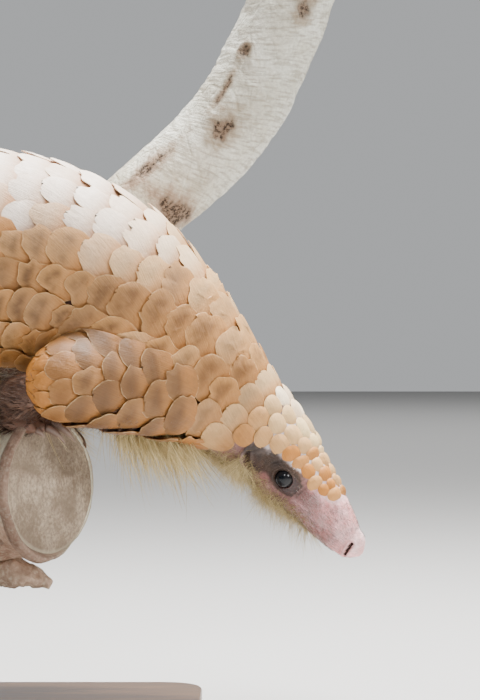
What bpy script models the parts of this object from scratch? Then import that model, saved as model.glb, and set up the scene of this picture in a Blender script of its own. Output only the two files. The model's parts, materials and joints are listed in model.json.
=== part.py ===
"""A Sunda pangolin, life size and still, reaching down from a forked limb on a plain display stand.

Metres, +Z up. The head end is at +X and the animal's right side faces -Y. The origin is the middle of
the base's underside.
"""

import math
import random

import bmesh
import bpy
import numpy as np

MM = 0.001
GAP = 0.3 * MM
MERGES = (0.002 * MM, 0.01 * MM, 0.03 * MM)
ROOM = (0.045 * MM, 0.45 * MM)
UP = np.array([0.0, 0.0, 1.0])
HALF_SPACE = 220 * MM
SHARP_ANGLE = math.radians(35)
THINNING_TRIES = 12

# The stand: a flat base and two rods under the limb.
BASE_SIZE = (400 * MM, 210 * MM, 16 * MM)
BASE_CORNER = 24 * MM
BASE_EDGE = 2.5 * MM
ROD_RADIUS = 6 * MM
ROD_FLANGE = (15 * MM, 4 * MM)
ROD_PLACES = ((-95 * MM, 4 * MM), (50 * MM, 0 * MM))

# The perch: one limb lying along X whose sawn stub turns to -Y, and a branch that climbs behind the animal.
LIMB_AXIS = (4 * MM, 138 * MM)
LIMB_RADIUS = 52 * MM
LIMB_ROWS = (
    (-318, 5, 137, 50.5),
    (-200, 4, 137.5, 51.5),
    (-60, 4, 138, 52),
    (40, 3, 138, 52.5),
    (68, -4, 138, 52),
    (88, -14, 139.4, 46.5),
    (102, -25, 140.4, 39.5),
    (119.6, -38, 140.6, 36.5),
)
BRANCH_ROWS = (
    (18, 12, 146, 30),
    (58, 62, 178, 28.5),
    (95, 90, 228, 27),
    (130, 97, 268, 26.5),
    (170, 99, 305, 26),
    (212, 100, 345, 26),
    (236, 100, 385, 25.5),
    (255, 100, 428, 25),
    (269, 100, 466, 24.5),
)
BRANCH_SPLIT = 0.52
ROD_SUNK = 30 * MM

# The body's sections from nose to rump: x, y, z, half width, height of the back, depth of the belly.
BODY_ROWS = (
    (289.5, -15, 101.5, 4, 4, 4),
    (286, -14.5, 105.5, 7.5, 7.3, 7.3),
    (281, -13.5, 110.6, 10, 10, 10),
    (273.2, -12, 120.9, 12.5, 13.2, 13.5),
    (265.9, -10.5, 130.9, 15.5, 15.5, 16),
    (259, -9, 139.3, 18.5, 18, 19),
    (252.4, -7.5, 146.8, 21, 20, 21.3),
    (243.6, -5.5, 159.5, 25, 22.5, 24.5),
    (236.4, -4, 167.3, 27.5, 24.5, 27),
    (219.5, -2, 183, 32, 29, 31.5),
    (202, -1, 200.5, 38, 35.5, 41),
    (181, 0, 217.5, 45, 46, 49),
    (157, 0, 233, 51, 56, 53),
    (132, 0, 248, 55, 59.5, 56.5),
    (106, 0, 258, 58, 62, 60),
    (73, 0, 263.5, 60, 63, 65),
    (28, 0, 265, 61, 62, 67.5),
    (-22, 0, 261, 59, 60, 63),
    (-64, 0, 252, 55.5, 56, 55),
    (-104, 0, 239, 50.5, 48.5, 45),
    (-140, 0, 228, 45.5, 40.5, 35.5),
)

# The tail leaves the rump along the limb and winds round it.
TAIL_START = -172 * MM
TAIL_LENGTH = 360 * MM
TAIL_TURN = math.radians(76)
TAIL_STRAIGHT = 95 * MM
TAIL_CLEARANCE = 3.4 * MM
TAIL_HALF_WIDTH = (41.5 * MM, 9 * MM)
TAIL_BACK = (33 * MM, 5.5 * MM)
TAIL_BELLY = (29 * MM, 5.5 * MM)
TAIL_TIP = [3.5 * MM, 2.5 * MM, 2.5 * MM]
TAIL_TAPER = 0.85
TAIL_PRESSED = (0.35, 1.6)
TAIL_STEPS = 44
TAIL_STEPS_A_ROW = 4

# Where the body is parted into nodes, as distances along it from the nose.
SPAN_MARGIN = 12 * MM
HEAD_END = 102 * MM
NECK_END = 158 * MM
CHEST_END = 243 * MM
WAIST_END = 345 * MM
RUMP_END = 478 * MM
TAIL_PARTS = (RUMP_END, 560 * MM, 635 * MM, 708 * MM, 780 * MM)

# Scales: share of the half girth that they cover, pitch along the body, count across, height at the tip.
SCALE_OVERLAP = 1.62
SCALE_WIDTH = 1.14
SCALE_SINK = 3 * MM
SCALE_SPREAD = 0.06
SCALE_LONGEST = 34 * MM
PLATE_FACES = 23
SCALE_BELTS = (
    # from, to, columns, pitch, height, reach at the front, reach at the back
    (0.038, 0.062, 4, 12.0, 1.4, 0.34, 0.45),
    (0.062, 0.102, 5, 13.5, 2.0, 0.50, 0.72),
    (0.102, 0.162, 7, 20.0, 3.0, 0.76, 0.76),
    (0.162, 0.262, 8, 24.5, 3.6, 0.74, 0.70),
    (0.262, 0.470, 8, 26.0, 3.8, 0.69, 0.69),
    (0.470, 0.560, 8, 23.0, 3.2, 0.72, 1.00),
    (0.560, 0.700, 6, 23.0, 2.6, 1.00, 1.00),
    (0.700, 0.835, 4, 19.0, 2.0, 1.00, 1.00),
)

# The head's small parts: distances from the nose, and turns from the middle of the back.
EYE_RADIUS = 5.3 * MM
EYE_SUNK = 1.6 * MM
EYE_PLACE = 58.5 * MM
EYE_TURN = math.radians(97)
EYELID = (1.7 * MM, 0.7 * MM, 1.5 * MM)
EAR_PLACE = 78.5 * MM
EAR_TURN = math.radians(119)
EAR_FLAP = (3.4, 4.6, 7.5)
EAR_CUP = (2.6 * MM, 4.4 * MM, 5.2 * MM)
NOSTRIL_PLACE = 4.5 * MM
NOSTRIL_TURN = math.radians(62)
NOSTRIL = (1.3 * MM, 1.1 * MM, 2.4 * MM)
MOUTH_PLACES = [(27, 118), (18, 123), (10, 131), (6.5, 148), (5.5, 180)]
MOUTH_CUT = (0.9 * MM, 2.4 * MM)

SKIN = ("skin", (0.62, 0.47, 0.42), 0.6)
SCALE_HORN = ("scale_horn", (0.58, 0.43, 0.28), 0.45)
EYE_DARK = ("eye", (0.02, 0.018, 0.018), 0.08)
CLAW_HORN = ("claw_horn", (0.55, 0.44, 0.38), 0.4)
BARK = ("bark", (0.45, 0.40, 0.34), 0.9)
BASE_WOOD = ("base_wood", (0.16, 0.10, 0.06), 0.45)
STEEL = ("stand_steel", (0.55, 0.55, 0.56), 0.35)


def unit(v):
    v = np.asarray(v, float)
    return v / np.linalg.norm(v)


class Rail:
    """Smooth sections along a line. Rows hold centre, direction of the back, half width, back and belly."""

    def __init__(self, rows):
        self.rows = np.array(rows, float)
        steps = np.linalg.norm(np.diff(self.rows[:, :3], axis=0), axis=1)
        self.knots = np.concatenate([[0.0], np.cumsum(steps)])
        self.length = float(self.knots[-1])
        self.slopes = np.gradient(self.rows, self.knots, axis=0)

    def values(self, s):
        s = min(max(s, 0.0), self.length)
        k = min(int(np.searchsorted(self.knots, s, side="right")) - 1, len(self.knots) - 2)
        h = self.knots[k + 1] - self.knots[k]
        t = (s - self.knots[k]) / h
        return (
            (2 * t**3 - 3 * t**2 + 1) * self.rows[k]
            + (t**3 - 2 * t**2 + t) * h * self.slopes[k]
            + (3 * t**2 - 2 * t**3) * self.rows[k + 1]
            + (t**3 - t**2) * h * self.slopes[k + 1]
        )

    def frame(self, s):
        """Centre, direction along, back, right side, and the three radii."""
        row = self.values(s)
        step = 1 * MM
        along = unit(self.values(s + step)[:3] - self.values(s - step)[:3])
        back = unit(row[3:6] - np.dot(row[3:6], along) * along)
        return row[:3], along, back, np.cross(back, along), row[6:9]

    def point(self, s, turn, lift=0.0):
        """The surface at a turn from the back towards the right side, raised along its normal."""
        centre, _, back, side, (wide, high, low) = self.frame(s)
        tall = high if math.cos(turn) > 0 else low
        normal = unit(side * math.sin(turn) / wide + back * math.cos(turn) / tall)
        return centre + side * wide * math.sin(turn) + back * tall * math.cos(turn) + normal * lift

    def turns(self, s, count=72):
        """Turns at even steps round one half of the girth, and the length of that half."""
        _, _, _, _, (wide, high, low) = self.frame(s)
        angles = np.linspace(0, math.pi, count + 1)
        tall = np.where(np.cos(angles) > 0, high, low)
        line = np.stack([wide * np.sin(angles), tall * np.cos(angles)], axis=1)
        lengths = np.concatenate([[0], np.cumsum(np.linalg.norm(np.diff(line, axis=0), axis=1))])
        return angles, lengths

    def turn_at(self, s, share):
        """The turn at a signed share of the half girth, 0 on the back and 1 under the belly."""
        angles, lengths = self.turns(s)
        return math.copysign(float(np.interp(abs(share) * lengths[-1], lengths, angles)), share)


def rail(rows, back=UP):
    """A rail from rows of x, y, z and radii in millimetres, all with the same back direction."""
    full = []
    for x, y, z, *radii in rows:
        wide, high, low = radii if len(radii) == 3 else radii * 3
        full.append([x * MM, y * MM, z * MM, *back, wide * MM, high * MM, low * MM])
    return Rail(full)


def tail_rows():
    """Sections of the tail, worked out on the limb's surface as if it were unrolled."""
    rows = []
    x, angle = TAIL_START, 0.0
    for i in range(TAIL_STEPS + 1):
        share = i / TAIL_STEPS
        fade = (1 - share) ** TAIL_TAPER
        wide, high, low = (
            end + (start - end) * fade for start, end in (TAIL_HALF_WIDTH, TAIL_BACK, TAIL_BELLY)
        )
        pressed, spread = TAIL_PRESSED
        low *= 1 - pressed * math.sin(math.pi * min(share * spread, 1.0))
        reach = LIMB_RADIUS + low + TAIL_CLEARANCE
        outward = np.array([0.0, -math.sin(angle), math.cos(angle)])
        centre = np.array([x, LIMB_AXIS[0], LIMB_AXIS[1]]) + reach * outward
        if i % TAIL_STEPS_A_ROW == 0:
            rows.append([*centre, *outward, wide, high, low])
        heading = TAIL_TURN * min(1.0, share * TAIL_LENGTH / TAIL_STRAIGHT)
        travel = TAIL_LENGTH / TAIL_STEPS
        x -= travel * math.cos(heading)
        angle += travel * math.sin(heading) / reach
    rows[-1] = rows[-1][:6] + TAIL_TIP
    return rows


BODY = Rail([*rail(BODY_ROWS).rows.tolist(), *tail_rows()])
LIMB = rail(LIMB_ROWS)
BRANCH = rail(BRANCH_ROWS)


def material(spec):
    name, colour, roughness = spec
    made = bpy.data.materials.get(name)
    if made is None:
        made = bpy.data.materials.new(name)
        made.use_nodes = True
        shader = made.node_tree.nodes["Principled BSDF"]
        shader.inputs["Base Color"].default_value = (*colour, 1)
        shader.inputs["Roughness"].default_value = roughness
        shader.inputs["Metallic"].default_value = 1.0 if name == "stand_steel" else 0.0
        made.diffuse_color = (*colour, 1)
    return made


def mesh_object(name, points, faces, collection=None):
    mesh = bpy.data.meshes.new(name)
    mesh.from_pydata([tuple(map(float, p)) for p in points], [], faces)
    work = bmesh.new()
    work.from_mesh(mesh)
    bmesh.ops.recalc_face_normals(work, faces=work.faces)
    bmesh.ops.triangulate(work, faces=work.faces)
    work.to_mesh(mesh)
    work.free()
    obj = bpy.data.objects.new(name, mesh)
    (collection or bpy.context.scene.collection).objects.link(obj)
    return obj


def tube(line, start, end, rings, sides, grow=0.0):
    """Points and faces of a closed tube along a rail, from start to end, with flat ends."""
    points = []
    turns = [2 * math.pi * k / sides for k in range(sides)]
    start, end = start - grow, end + grow
    for i in range(rings + 1):
        s = start + (end - start) * i / rings
        over = min(s, 0.0) + max(s - line.length, 0.0)
        shift = line.frame(s)[1] * over
        points += [line.point(s, turn, grow) + shift for turn in turns]
    faces = [list(range(sides))[::-1], list(range(rings * sides, (rings + 1) * sides))]
    for i in range(rings):
        for k in range(sides):
            a, b = i * sides + k, i * sides + (k + 1) % sides
            faces.append([a, b, b + sides, a + sides])
    return points, faces


# A scale seen from above, root first: across and along, as shares of its width and length, and height.
SCALE_OUTLINE = (
    (-0.36, 0.0, -0.50),
    (0.36, 0.0, -0.50),
    (0.50, 0.52, 0.48),
    (0.26, 1.0, 1.0),
    (-0.26, 1.0, 1.0),
    (-0.50, 0.52, 0.48),
)


def scale_plate(line, s, turn, wide, length, height):
    """One scale: a plate sunk at its root that rises to a free tip further along the rail."""
    step = 0.05
    near, far = line.point(s, turn - step), line.point(s, turn + step)
    per_turn = max(float(np.linalg.norm(far - near)) / (2 * step), 2 * MM)
    top, bottom = [], []
    for across, along, rise in SCALE_OUTLINE:
        place = (s + along * length, turn + across * wide / per_turn)
        lift = rise * height if rise > 0 else rise * SCALE_SINK
        top.append(line.point(*place, lift))
        bottom.append(line.point(*place, -SCALE_SINK))
    count = len(SCALE_OUTLINE)
    faces = [[0, 1, 2, 5], [5, 2, 3, 4], [count + k for k in range(count)][::-1]]
    for k in range(count):
        n = (k + 1) % count
        faces.append([n, k, count + k, count + n])
    return top + bottom, faces


def scale_plates(start, end):
    """The body's scales whose roots lie between two distances along it."""
    plates = []
    row = 0
    for first, last, columns, pitch, height, front, rear in SCALE_BELTS:
        rows = max(1, round((last - first) / (pitch * MM)))
        for i in range(rows):
            s = first + (last - first) * i / rows
            row += 1
            if not start <= s < end:
                continue
            share = front + (rear - front) * i / rows
            half_girth = BODY.turns(s)[1][-1]
            ring = share >= 0.99
            spacing = 2 * share * half_girth / columns
            count = columns if ring or row % 2 else columns + 1
            for k in range(count):
                offset = k - (count - 1) / 2 + (0.5 * (row % 2) if ring else 0.0)
                place = 2 * share * offset / columns
                place = (place + 1) % 2 - 1 if ring else max(-share, min(share, place))
                draw = random.Random(100 * row + k)
                wide, long, tall = (draw.uniform(1 - SCALE_SPREAD, 1 + SCALE_SPREAD) for _ in range(3))
                root = s + draw.uniform(-0.05, 0.05) * (last - first) / rows
                size = (spacing * SCALE_WIDTH * wide, (last - first) / rows * SCALE_OVERLAP * long)
                plates.append(scale_plate(BODY, root, BODY.turn_at(s, place), *size, height * MM * tall))
    return plates


def applied(obj):
    """Bakes an object's modifiers into its mesh."""
    graph = bpy.context.evaluated_depsgraph_get()
    result = bpy.data.meshes.new_from_object(obj.evaluated_get(graph))
    obj.modifiers.clear()
    old, obj.data = obj.data, result
    bpy.data.meshes.remove(old)


def closed(mesh):
    """Whether every edge has two faces and every corner one fan of them."""
    work = bmesh.new()
    work.from_mesh(mesh)
    whole = all(e.is_manifold for e in work.edges) and all(v.is_manifold for v in work.verts)
    work.free()
    return whole


def thinned(obj, faces):
    """Merges the slivers that a union leaves, down to about a number of triangles, and stays closed."""
    full = obj.data
    for tries in range(THINNING_TRIES):
        work = bmesh.new()
        work.from_mesh(full)
        split = ("BEAUTY", "EAR_CLIP")[tries % 2]
        bmesh.ops.triangulate(work, faces=work.faces, ngon_method=split)
        bmesh.ops.dissolve_degenerate(work, dist=MERGES[tries % len(MERGES)], edges=work.edges)
        bmesh.ops.triangulate(work, faces=work.faces, ngon_method=split)
        trial = full.copy()
        work.to_mesh(trial)
        work.free()
        ratio = faces * (1 + 0.02 * tries) / len(trial.polygons)
        obj.data = trial
        if ratio < 1:
            thin = obj.modifiers.new("thin", "DECIMATE")
            thin.ratio = ratio
            applied(obj)
        trial, obj.data = obj.data, full
        if closed(trial):
            obj.data = trial
            bpy.data.meshes.remove(full)
            return
        bpy.data.meshes.remove(trial)


def solid(name, pieces, cutters=(), spec=SKIN, faces=None):
    """One closed body from pieces joined by a union and cut by cutters, each as points and faces."""
    obj = mesh_object(name, *pieces[0])
    for operation, shapes in (("UNION", pieces[1:]), ("DIFFERENCE", cutters)):
        if operation == "DIFFERENCE" and faces:
            thinned(obj, faces)
        if not shapes:
            continue
        group = bpy.data.collections.new(name + "_" + operation.lower())
        bpy.context.scene.collection.children.link(group)
        for n, shape in enumerate(shapes):
            mesh_object(f"{name}_{n}", *shape, collection=group)
        cut = obj.modifiers.new(operation, "BOOLEAN")
        cut.operation = operation
        cut.operand_type = "COLLECTION"
        cut.collection = group
        cut.solver = "MANIFOLD"
        applied(obj)
        for helper in list(group.objects):
            mesh = helper.data
            bpy.data.objects.remove(helper)
            bpy.data.meshes.remove(mesh)
        bpy.data.collections.remove(group)
    keep_largest(obj)
    obj.data.name = name
    obj.data.materials.clear()
    obj.data.materials.append(material(spec))
    obj.data.shade_smooth()
    obj.data.set_sharp_from_angle(angle=SHARP_ANGLE)
    return obj


def keep_largest(obj):
    """Drops all but the largest closed surface of a mesh."""
    work = bmesh.new()
    work.from_mesh(obj.data)
    seen, groups = set(), []
    for first in work.faces:
        if first in seen:
            continue
        group, queue = [], [first]
        seen.add(first)
        while queue:
            face = queue.pop()
            group.append(face)
            for edge in face.edges:
                for other in edge.link_faces:
                    if other not in seen:
                        seen.add(other)
                        queue.append(other)
        groups.append(group)
    groups.sort(key=lambda g: sum(f.calc_area() for f in g), reverse=True)
    for group in groups[1:]:
        bmesh.ops.delete(work, geom=group, context="FACES")
    loose = [v for v in work.verts if not v.link_faces]
    bmesh.ops.delete(work, geom=loose, context="VERTS")
    work.to_mesh(obj.data)
    work.free()


def half_space(line, s, towards):
    """A large box whose near face is the plane across a rail at s, lying ahead of or behind it."""
    size = HALF_SPACE
    centre, along, back, side, _ = line.frame(s)
    along = along * towards
    points = []
    for depth in (GAP / 2 * -1, size):
        for a, b in ((-1, -1), (1, -1), (1, 1), (-1, 1)):
            points.append(centre + along * depth + back * a * size + side * b * size)
    faces = [[0, 1, 2, 3], [7, 6, 5, 4], [0, 4, 5, 1], [1, 5, 6, 2], [2, 6, 7, 3], [3, 7, 4, 0]]
    return points, faces


def ball(centre, radii, axes=np.eye(3), rings=5, sides=8):
    """Points and faces of an ellipsoid with its radii along the rows of axes."""
    points = [np.array([0, 0, 1.0])]
    for i in range(1, rings):
        polar = math.pi * i / rings
        for k in range(sides):
            turn = 2 * math.pi * k / sides
            across = math.sin(polar)
            points.append(np.array([across * math.cos(turn), across * math.sin(turn), math.cos(polar)]))
    points.append(np.array([0, 0, -1.0]))
    faces = []
    for k in range(sides):
        n = (k + 1) % sides
        faces.append([0, 1 + k, 1 + n])
        last = 1 + (rings - 2) * sides
        faces.append([last + n, last + k, len(points) - 1])
        for i in range(rings - 2):
            a = 1 + i * sides
            faces.append([a + k, a + sides + k, a + sides + n, a + n])
    placed = [np.asarray(centre) + (p * np.asarray(radii)) @ np.asarray(axes) for p in points]
    return placed, faces


def ring(centre, normal, major, minor, sides=12, section=5):
    """Points and faces of a torus round a normal."""
    normal = unit(normal)
    across = unit(np.cross(normal, UP if abs(normal[2]) < 0.9 else np.array([1.0, 0, 0])))
    other = np.cross(normal, across)
    points = []
    for i in range(sides):
        turn = 2 * math.pi * i / sides
        out = across * math.cos(turn) + other * math.sin(turn)
        for k in range(section):
            bend = 2 * math.pi * k / section
            points.append(centre + out * (major + minor * math.cos(bend)) + normal * minor * math.sin(bend))
    faces = []
    for i in range(sides):
        for k in range(section):
            a, b = i * section + k, i * section + (k + 1) % section
            shift = section if i < sides - 1 else section - sides * section
            faces.append([a, b, b + shift, a + shift])
    return points, faces


def bar(path, normals, wide, deep, sides=4):
    """Points and faces of a bar with a square section that follows a path."""
    points = []
    for i, place in enumerate(path):
        before, after = path[max(i - 1, 0)], path[min(i + 1, len(path) - 1)]
        along = unit(after - before)
        normal = unit(normals[i] - np.dot(normals[i], along) * along)
        across = np.cross(along, normal)
        for a, b in ((-1, -1), (1, -1), (1, 1), (-1, 1)):
            points.append(place + across * a * wide / 2 + normal * b * deep / 2)
    faces = [[3, 2, 1, 0], [len(points) - 4 + k for k in range(4)]]
    for i in range(len(path) - 1):
        for k in range(sides):
            a, b = i * sides + k, i * sides + (k + 1) % sides
            faces.append([a, b, b + sides, a + sides])
    return points, faces


def limb_tube(grow=0.0):
    return tube(LIMB, 0, LIMB.length, 14, 20, grow)


def branch_tube(grow=0.0):
    return tube(BRANCH, 0, BRANCH.length, 12, 14, grow)


def perch_cutters():
    return [limb_tube(GAP), branch_tube(GAP)]


# The digits' lengths as shares of the middle one and their radii, and the pad's places and girths as shares.
DIGITS = ((0.66, 2.6), (0.94, 3.2), (1.0, 3.2), (0.92, 3.2), (0.62, 2.6))
PAD_GIRTHS = ((-0.25, 0.55), (0.0, 0.85), (0.35, 1.0), (0.7, 0.95), (0.88, 0.6))
CLAW_STEPS = 5
CLAW_BEND = math.radians(11)
CLAW_TIP = 0.35 * MM
LEG_SCALE_OVERLAP = 1.5
LEG_SCALE_WIDTH = 1.1


class Leg:
    """One leg: an upper rail from the trunk, a lower rail, and a foot with five digits and claws."""

    def __init__(self, name, upper, lower, foot, outward, claws):
        self.name = name
        self.upper = rail(upper, outward)
        self.lower = rail(lower, outward)
        self.foot = foot
        self.claws = claws

    def upper_pieces(self):
        pieces = [tube(self.upper, 0, self.upper.length, 6, 12)]
        return pieces + self.plates(self.upper, 0.14, 0.90, 5, 3, 0.60, 2.6)

    def plates(self, line, first, last, rows, columns, reach, height):
        """Rows of scales on the outer face of a leg, with their tips towards the foot."""
        made = []
        for i in range(rows):
            s = line.length * (first + (last - first) * i / rows)
            half_girth = line.turns(s)[1][-1]
            count = columns + i % 2
            spacing = 2 * reach * half_girth / columns
            for k in range(count):
                place = 2 * reach * (k - (count - 1) / 2) / columns
                turn = line.turn_at(s, max(-reach, min(reach, place)))
                length = line.length * (last - first) / rows * LEG_SCALE_OVERLAP
                made.append(scale_plate(line, s, turn, spacing * LEG_SCALE_WIDTH, length, height * MM))
        return made

    def foot_frame(self):
        heel, forward, up = self.foot[:3]
        forward = unit(forward)
        up = unit(np.asarray(up, float) - np.dot(up, forward) * forward)
        return np.array(heel, float) * MM, forward, up, np.cross(forward, up)

    def digits(self):
        """Start, end, direction and radius of each digit, from the inner side to the outer."""
        heel, forward, up, side = self.foot_frame()
        length, wide = self.foot[3] * MM, self.foot[4] * MM
        found = []
        for k, (share, radius) in enumerate(DIGITS):
            offset = (k - 2) / 2
            aim = unit(forward + side * offset * 0.22 - up * 0.12)
            start = heel + forward * length * 0.45 + side * offset * wide * 0.36
            end = start + aim * length * 0.62 * share
            found.append((start, end, aim, radius * MM))
        return found

    def lower_pieces(self):
        heel, forward, up, _ = self.foot_frame()
        length, wide, thick = (v * MM for v in self.foot[3:6])
        rows = []
        for share, girth in PAD_GIRTHS:
            place = heel + forward * length * share
            rows.append([*place, *up, wide / 2 * girth, thick / 2 * girth, thick / 2 * girth])
        pad = Rail(rows)
        pieces = [tube(self.lower, 0, self.lower.length, 4, 10), tube(pad, 0, pad.length, 4, 10)]
        for start, end, _, radius in self.digits():
            rows = [[*start, *up, radius, radius, radius], [*end, *up, radius, radius * 0.9, radius * 0.9]]
            stub = Rail(rows)
            pieces.append(tube(stub, 0, stub.length, 1, 6))
        return pieces + self.plates(self.lower, 0.25, 0.75, 2, 2, 0.42, 2.0)

    def claw_pieces(self):
        """Each claw as points and faces: a curved cone that starts a gap beyond its digit's end."""
        _, _, up, _ = self.foot_frame()
        made = []
        for (_, end, aim, radius), length in zip(self.digits(), self.claws):
            rows = []
            place, heading = end + aim * GAP, aim
            for i in range(CLAW_STEPS + 1):
                size = radius * 0.85 * (1 - (i / CLAW_STEPS) ** 1.5) + CLAW_TIP
                rows.append([*place, *up, size * 0.8, size, size])
                heading = unit(heading * math.cos(CLAW_BEND) - up * math.sin(CLAW_BEND))
                place = place + heading * length * MM / CLAW_STEPS
            line = Rail(rows)
            made.append(tube(line, 0, line.length, 4, 5))
        return made


def mirrored(rows, shift=0.0):
    return tuple((x + shift, -y, *rest) for x, y, *rest in rows)


FORE_UPPER = (
    (196, -18, 196, 20, 12, 12),
    (176, -37, 194.5, 22, 14, 13),
    (157, -49, 194.5, 21.5, 15, 13),
    (139, -57.5, 196, 20.5, 14.5, 12),
    (123, -62.5, 197, 18, 12.5, 11),
    (112.5, -64, 197.5, 12, 8.5, 8),
    (108, -64.5, 197.5, 5, 4, 4),
)
FORE_LOWER_RIGHT = ((115, -60, 193, 11, 10, 10), (104, -55, 190, 12, 11, 11), (100, -47, 182, 10, 9, 9))
FORE_LOWER_LEFT = ((116, 62, 190, 11, 10, 10), (113, 38, 186, 12, 11, 11), (104, 8, 177, 9, 8, 8))
HIND_UPPER = (
    (-78, -24, 242, 30, 18, 16),
    (-68, -40, 234, 34, 18, 16),
    (-54, -54, 219, 29, 17, 15),
    (-44, -63, 205, 21, 15, 14),
    (-40, -66, 193, 9, 9, 9),
)
HIND_LOWER = ((-40, -64, 203, 13, 13, 13), (-53, -64, 193, 15, 14, 14), (-66, -54, 184, 14, 12, 12))
HIND_FAR_SHIFT = 14
FORE_CLAWS = (6, 14, 17, 13, 5)
HIND_CLAWS = (6, 10, 11, 10, 6)

LEGS = (
    Leg(
        "foreleg_right", FORE_UPPER, FORE_LOWER_RIGHT,
        ((97, -47, 179), (0.97, -0.08, -0.10), (0, -0.45, 0.9), 22, 25, 13), (0, -1, 0.1), FORE_CLAWS,
    ),
    Leg(
        "foreleg_left", mirrored(FORE_UPPER), FORE_LOWER_LEFT,
        ((106, 2, 173.5), (0.80, -0.28, -0.10), (0.2, 0.62, 0.75), 22, 24, 13), (0, 1, 0.1), FORE_CLAWS,
    ),
    Leg(
        "hindleg_right", HIND_UPPER, HIND_LOWER,
        ((-67, -45, 178), (0.25, -0.62, -0.72), (0, -0.80, 0.60), 31, 30, 15), (0, -1, 0.1), HIND_CLAWS,
    ),
    Leg(
        "hindleg_left", mirrored(HIND_UPPER, HIND_FAR_SHIFT), mirrored(HIND_LOWER, HIND_FAR_SHIFT),
        ((-53, 53, 178), (0.25, 0.62, -0.72), (0, 0.80, 0.60), 31, 30, 15), (0, 1, 0.1), HIND_CLAWS,
    ),
)


def room_for(obj):
    """Copies of an object's mesh pushed out along its normals by two amounts, to cut its neighbours."""
    mesh = obj.data
    faces = [list(face.vertices) for face in mesh.polygons]
    found = []
    for grow in ROOM:
        points = [np.array(v.co) + np.array(v.normal) * grow for v in mesh.vertices]
        found.append((points, faces))
    return found


def body_span(name, start, end, rings, sides, spec, extra=(), cutters=(), flesh=90):
    """One length of the body with its scales, cut square at both ends."""
    low, high = max(start - SPAN_MARGIN, 0.0), min(end + SPAN_MARGIN, BODY.length)
    pieces = [tube(BODY, low, high, rings, sides), *extra]
    plates = scale_plates(start - SCALE_LONGEST, end + 1 * MM)
    pieces += plates
    cuts = list(cutters)
    if start > 0:
        cuts.append(half_space(BODY, start + GAP / 2, -1))
    if end < BODY.length:
        cuts.append(half_space(BODY, end - GAP / 2, 1))
    return solid(name, pieces, cuts, spec, flesh + PLATE_FACES * len(plates))


def eye_place(side):
    """Centre of an eye and its outward direction. Side is 1 on the right and -1 on the left."""
    surface = BODY.point(EYE_PLACE, side * EYE_TURN)
    outward = unit(BODY.point(EYE_PLACE, side * EYE_TURN, 1 * MM) - surface)
    return surface - outward * EYE_SUNK, outward


def mouth_groove():
    """The line of the mouth: up one side of the snout, under its tip and back along the other."""
    path, normals = [], []
    route = MOUTH_PLACES + [(s, 360 - a) for s, a in reversed(MOUTH_PLACES[:-1])]
    for s, angle in route:
        turn = math.radians(angle)
        surface = BODY.point(s * MM, turn)
        path.append(surface)
        normals.append(BODY.point(s * MM, turn, 1 * MM) - surface)
    return bar(path, normals, *MOUTH_CUT)


def head():
    extra, cuts = [], [mouth_groove()]
    for side in (1, -1):
        centre, outward = eye_place(side)
        rise, margin, thickness = EYELID
        extra.append(ring(centre + outward * rise, outward, EYE_RADIUS + margin, thickness))
        cuts.append(ball(centre, [EYE_RADIUS + GAP] * 3, rings=6, sides=12))
        nostril = BODY.point(NOSTRIL_PLACE, side * NOSTRIL_TURN)
        along = BODY.frame(NOSTRIL_PLACE)[1]
        cuts.append(ball(nostril, NOSTRIL, frame_along(along)))
        cuts.append(ear_flap(side, GAP))
    return body_span("head", 0.0, HEAD_END, 18, 18, SKIN, extra, cuts, 420)


def frame_along(direction):
    """Three axes as rows, the last along a direction."""
    last = unit(direction)
    first = unit(np.cross(last, UP))
    return np.array([first, np.cross(last, first), last])


def ear_place(side):
    """Where the ear canal opens, and the outward direction there."""
    s, turn = EAR_PLACE, side * EAR_TURN
    surface = BODY.point(s, turn)
    return surface, unit(BODY.point(s, turn, 1 * MM) - surface)


def ear_axes(side):
    canal, outward = ear_place(side)
    along = BODY.frame(EAR_PLACE)[1]
    return canal, along, outward, np.array([along, outward, unit(np.cross(along, outward))])


def ear_flap(side, grow=0.0):
    canal, along, outward, axes = ear_axes(side)
    radii = [r * MM + grow for r in EAR_FLAP]
    return ball(canal + along * 2.0 * MM, radii, axes)


def ears():
    for side, name in ((1, "ear_right"), (-1, "ear_left")):
        canal, along, outward, axes = ear_axes(side)
        cup = ball(canal + along * 0.4 * MM + outward * 3.4 * MM, EAR_CUP, axes)
        solid(name, [ear_flap(side)], [cup], SKIN)


def eyes():
    for side, name in ((1, "eye_right"), (-1, "eye_left")):
        centre, _ = eye_place(side)
        solid(name, [ball(centre, [EYE_RADIUS] * 3, rings=6, sides=12)], (), EYE_DARK)


def trunk(fore, hind):
    body_span("neck", HEAD_END, NECK_END, 5, 18, SCALE_HORN, (), fore)
    body_span("torso_chest", NECK_END, CHEST_END, 6, 18, SCALE_HORN, (), fore)
    body_span("torso_waist", CHEST_END, WAIST_END, 6, 18, SCALE_HORN, (), fore + hind)
    body_span("torso_rump", WAIST_END, RUMP_END, 7, 18, SCALE_HORN, (), hind)


def tail(hind):
    parts = list(zip(TAIL_PARTS, [*TAIL_PARTS[1:], BODY.length]))
    for n, (start, end) in enumerate(parts, 1):
        cuts = perch_cutters() + (hind if n == 1 else [])
        body_span(f"tail_{n}", start, end, 7, 12, SCALE_HORN, (), cuts, 60)


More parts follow.
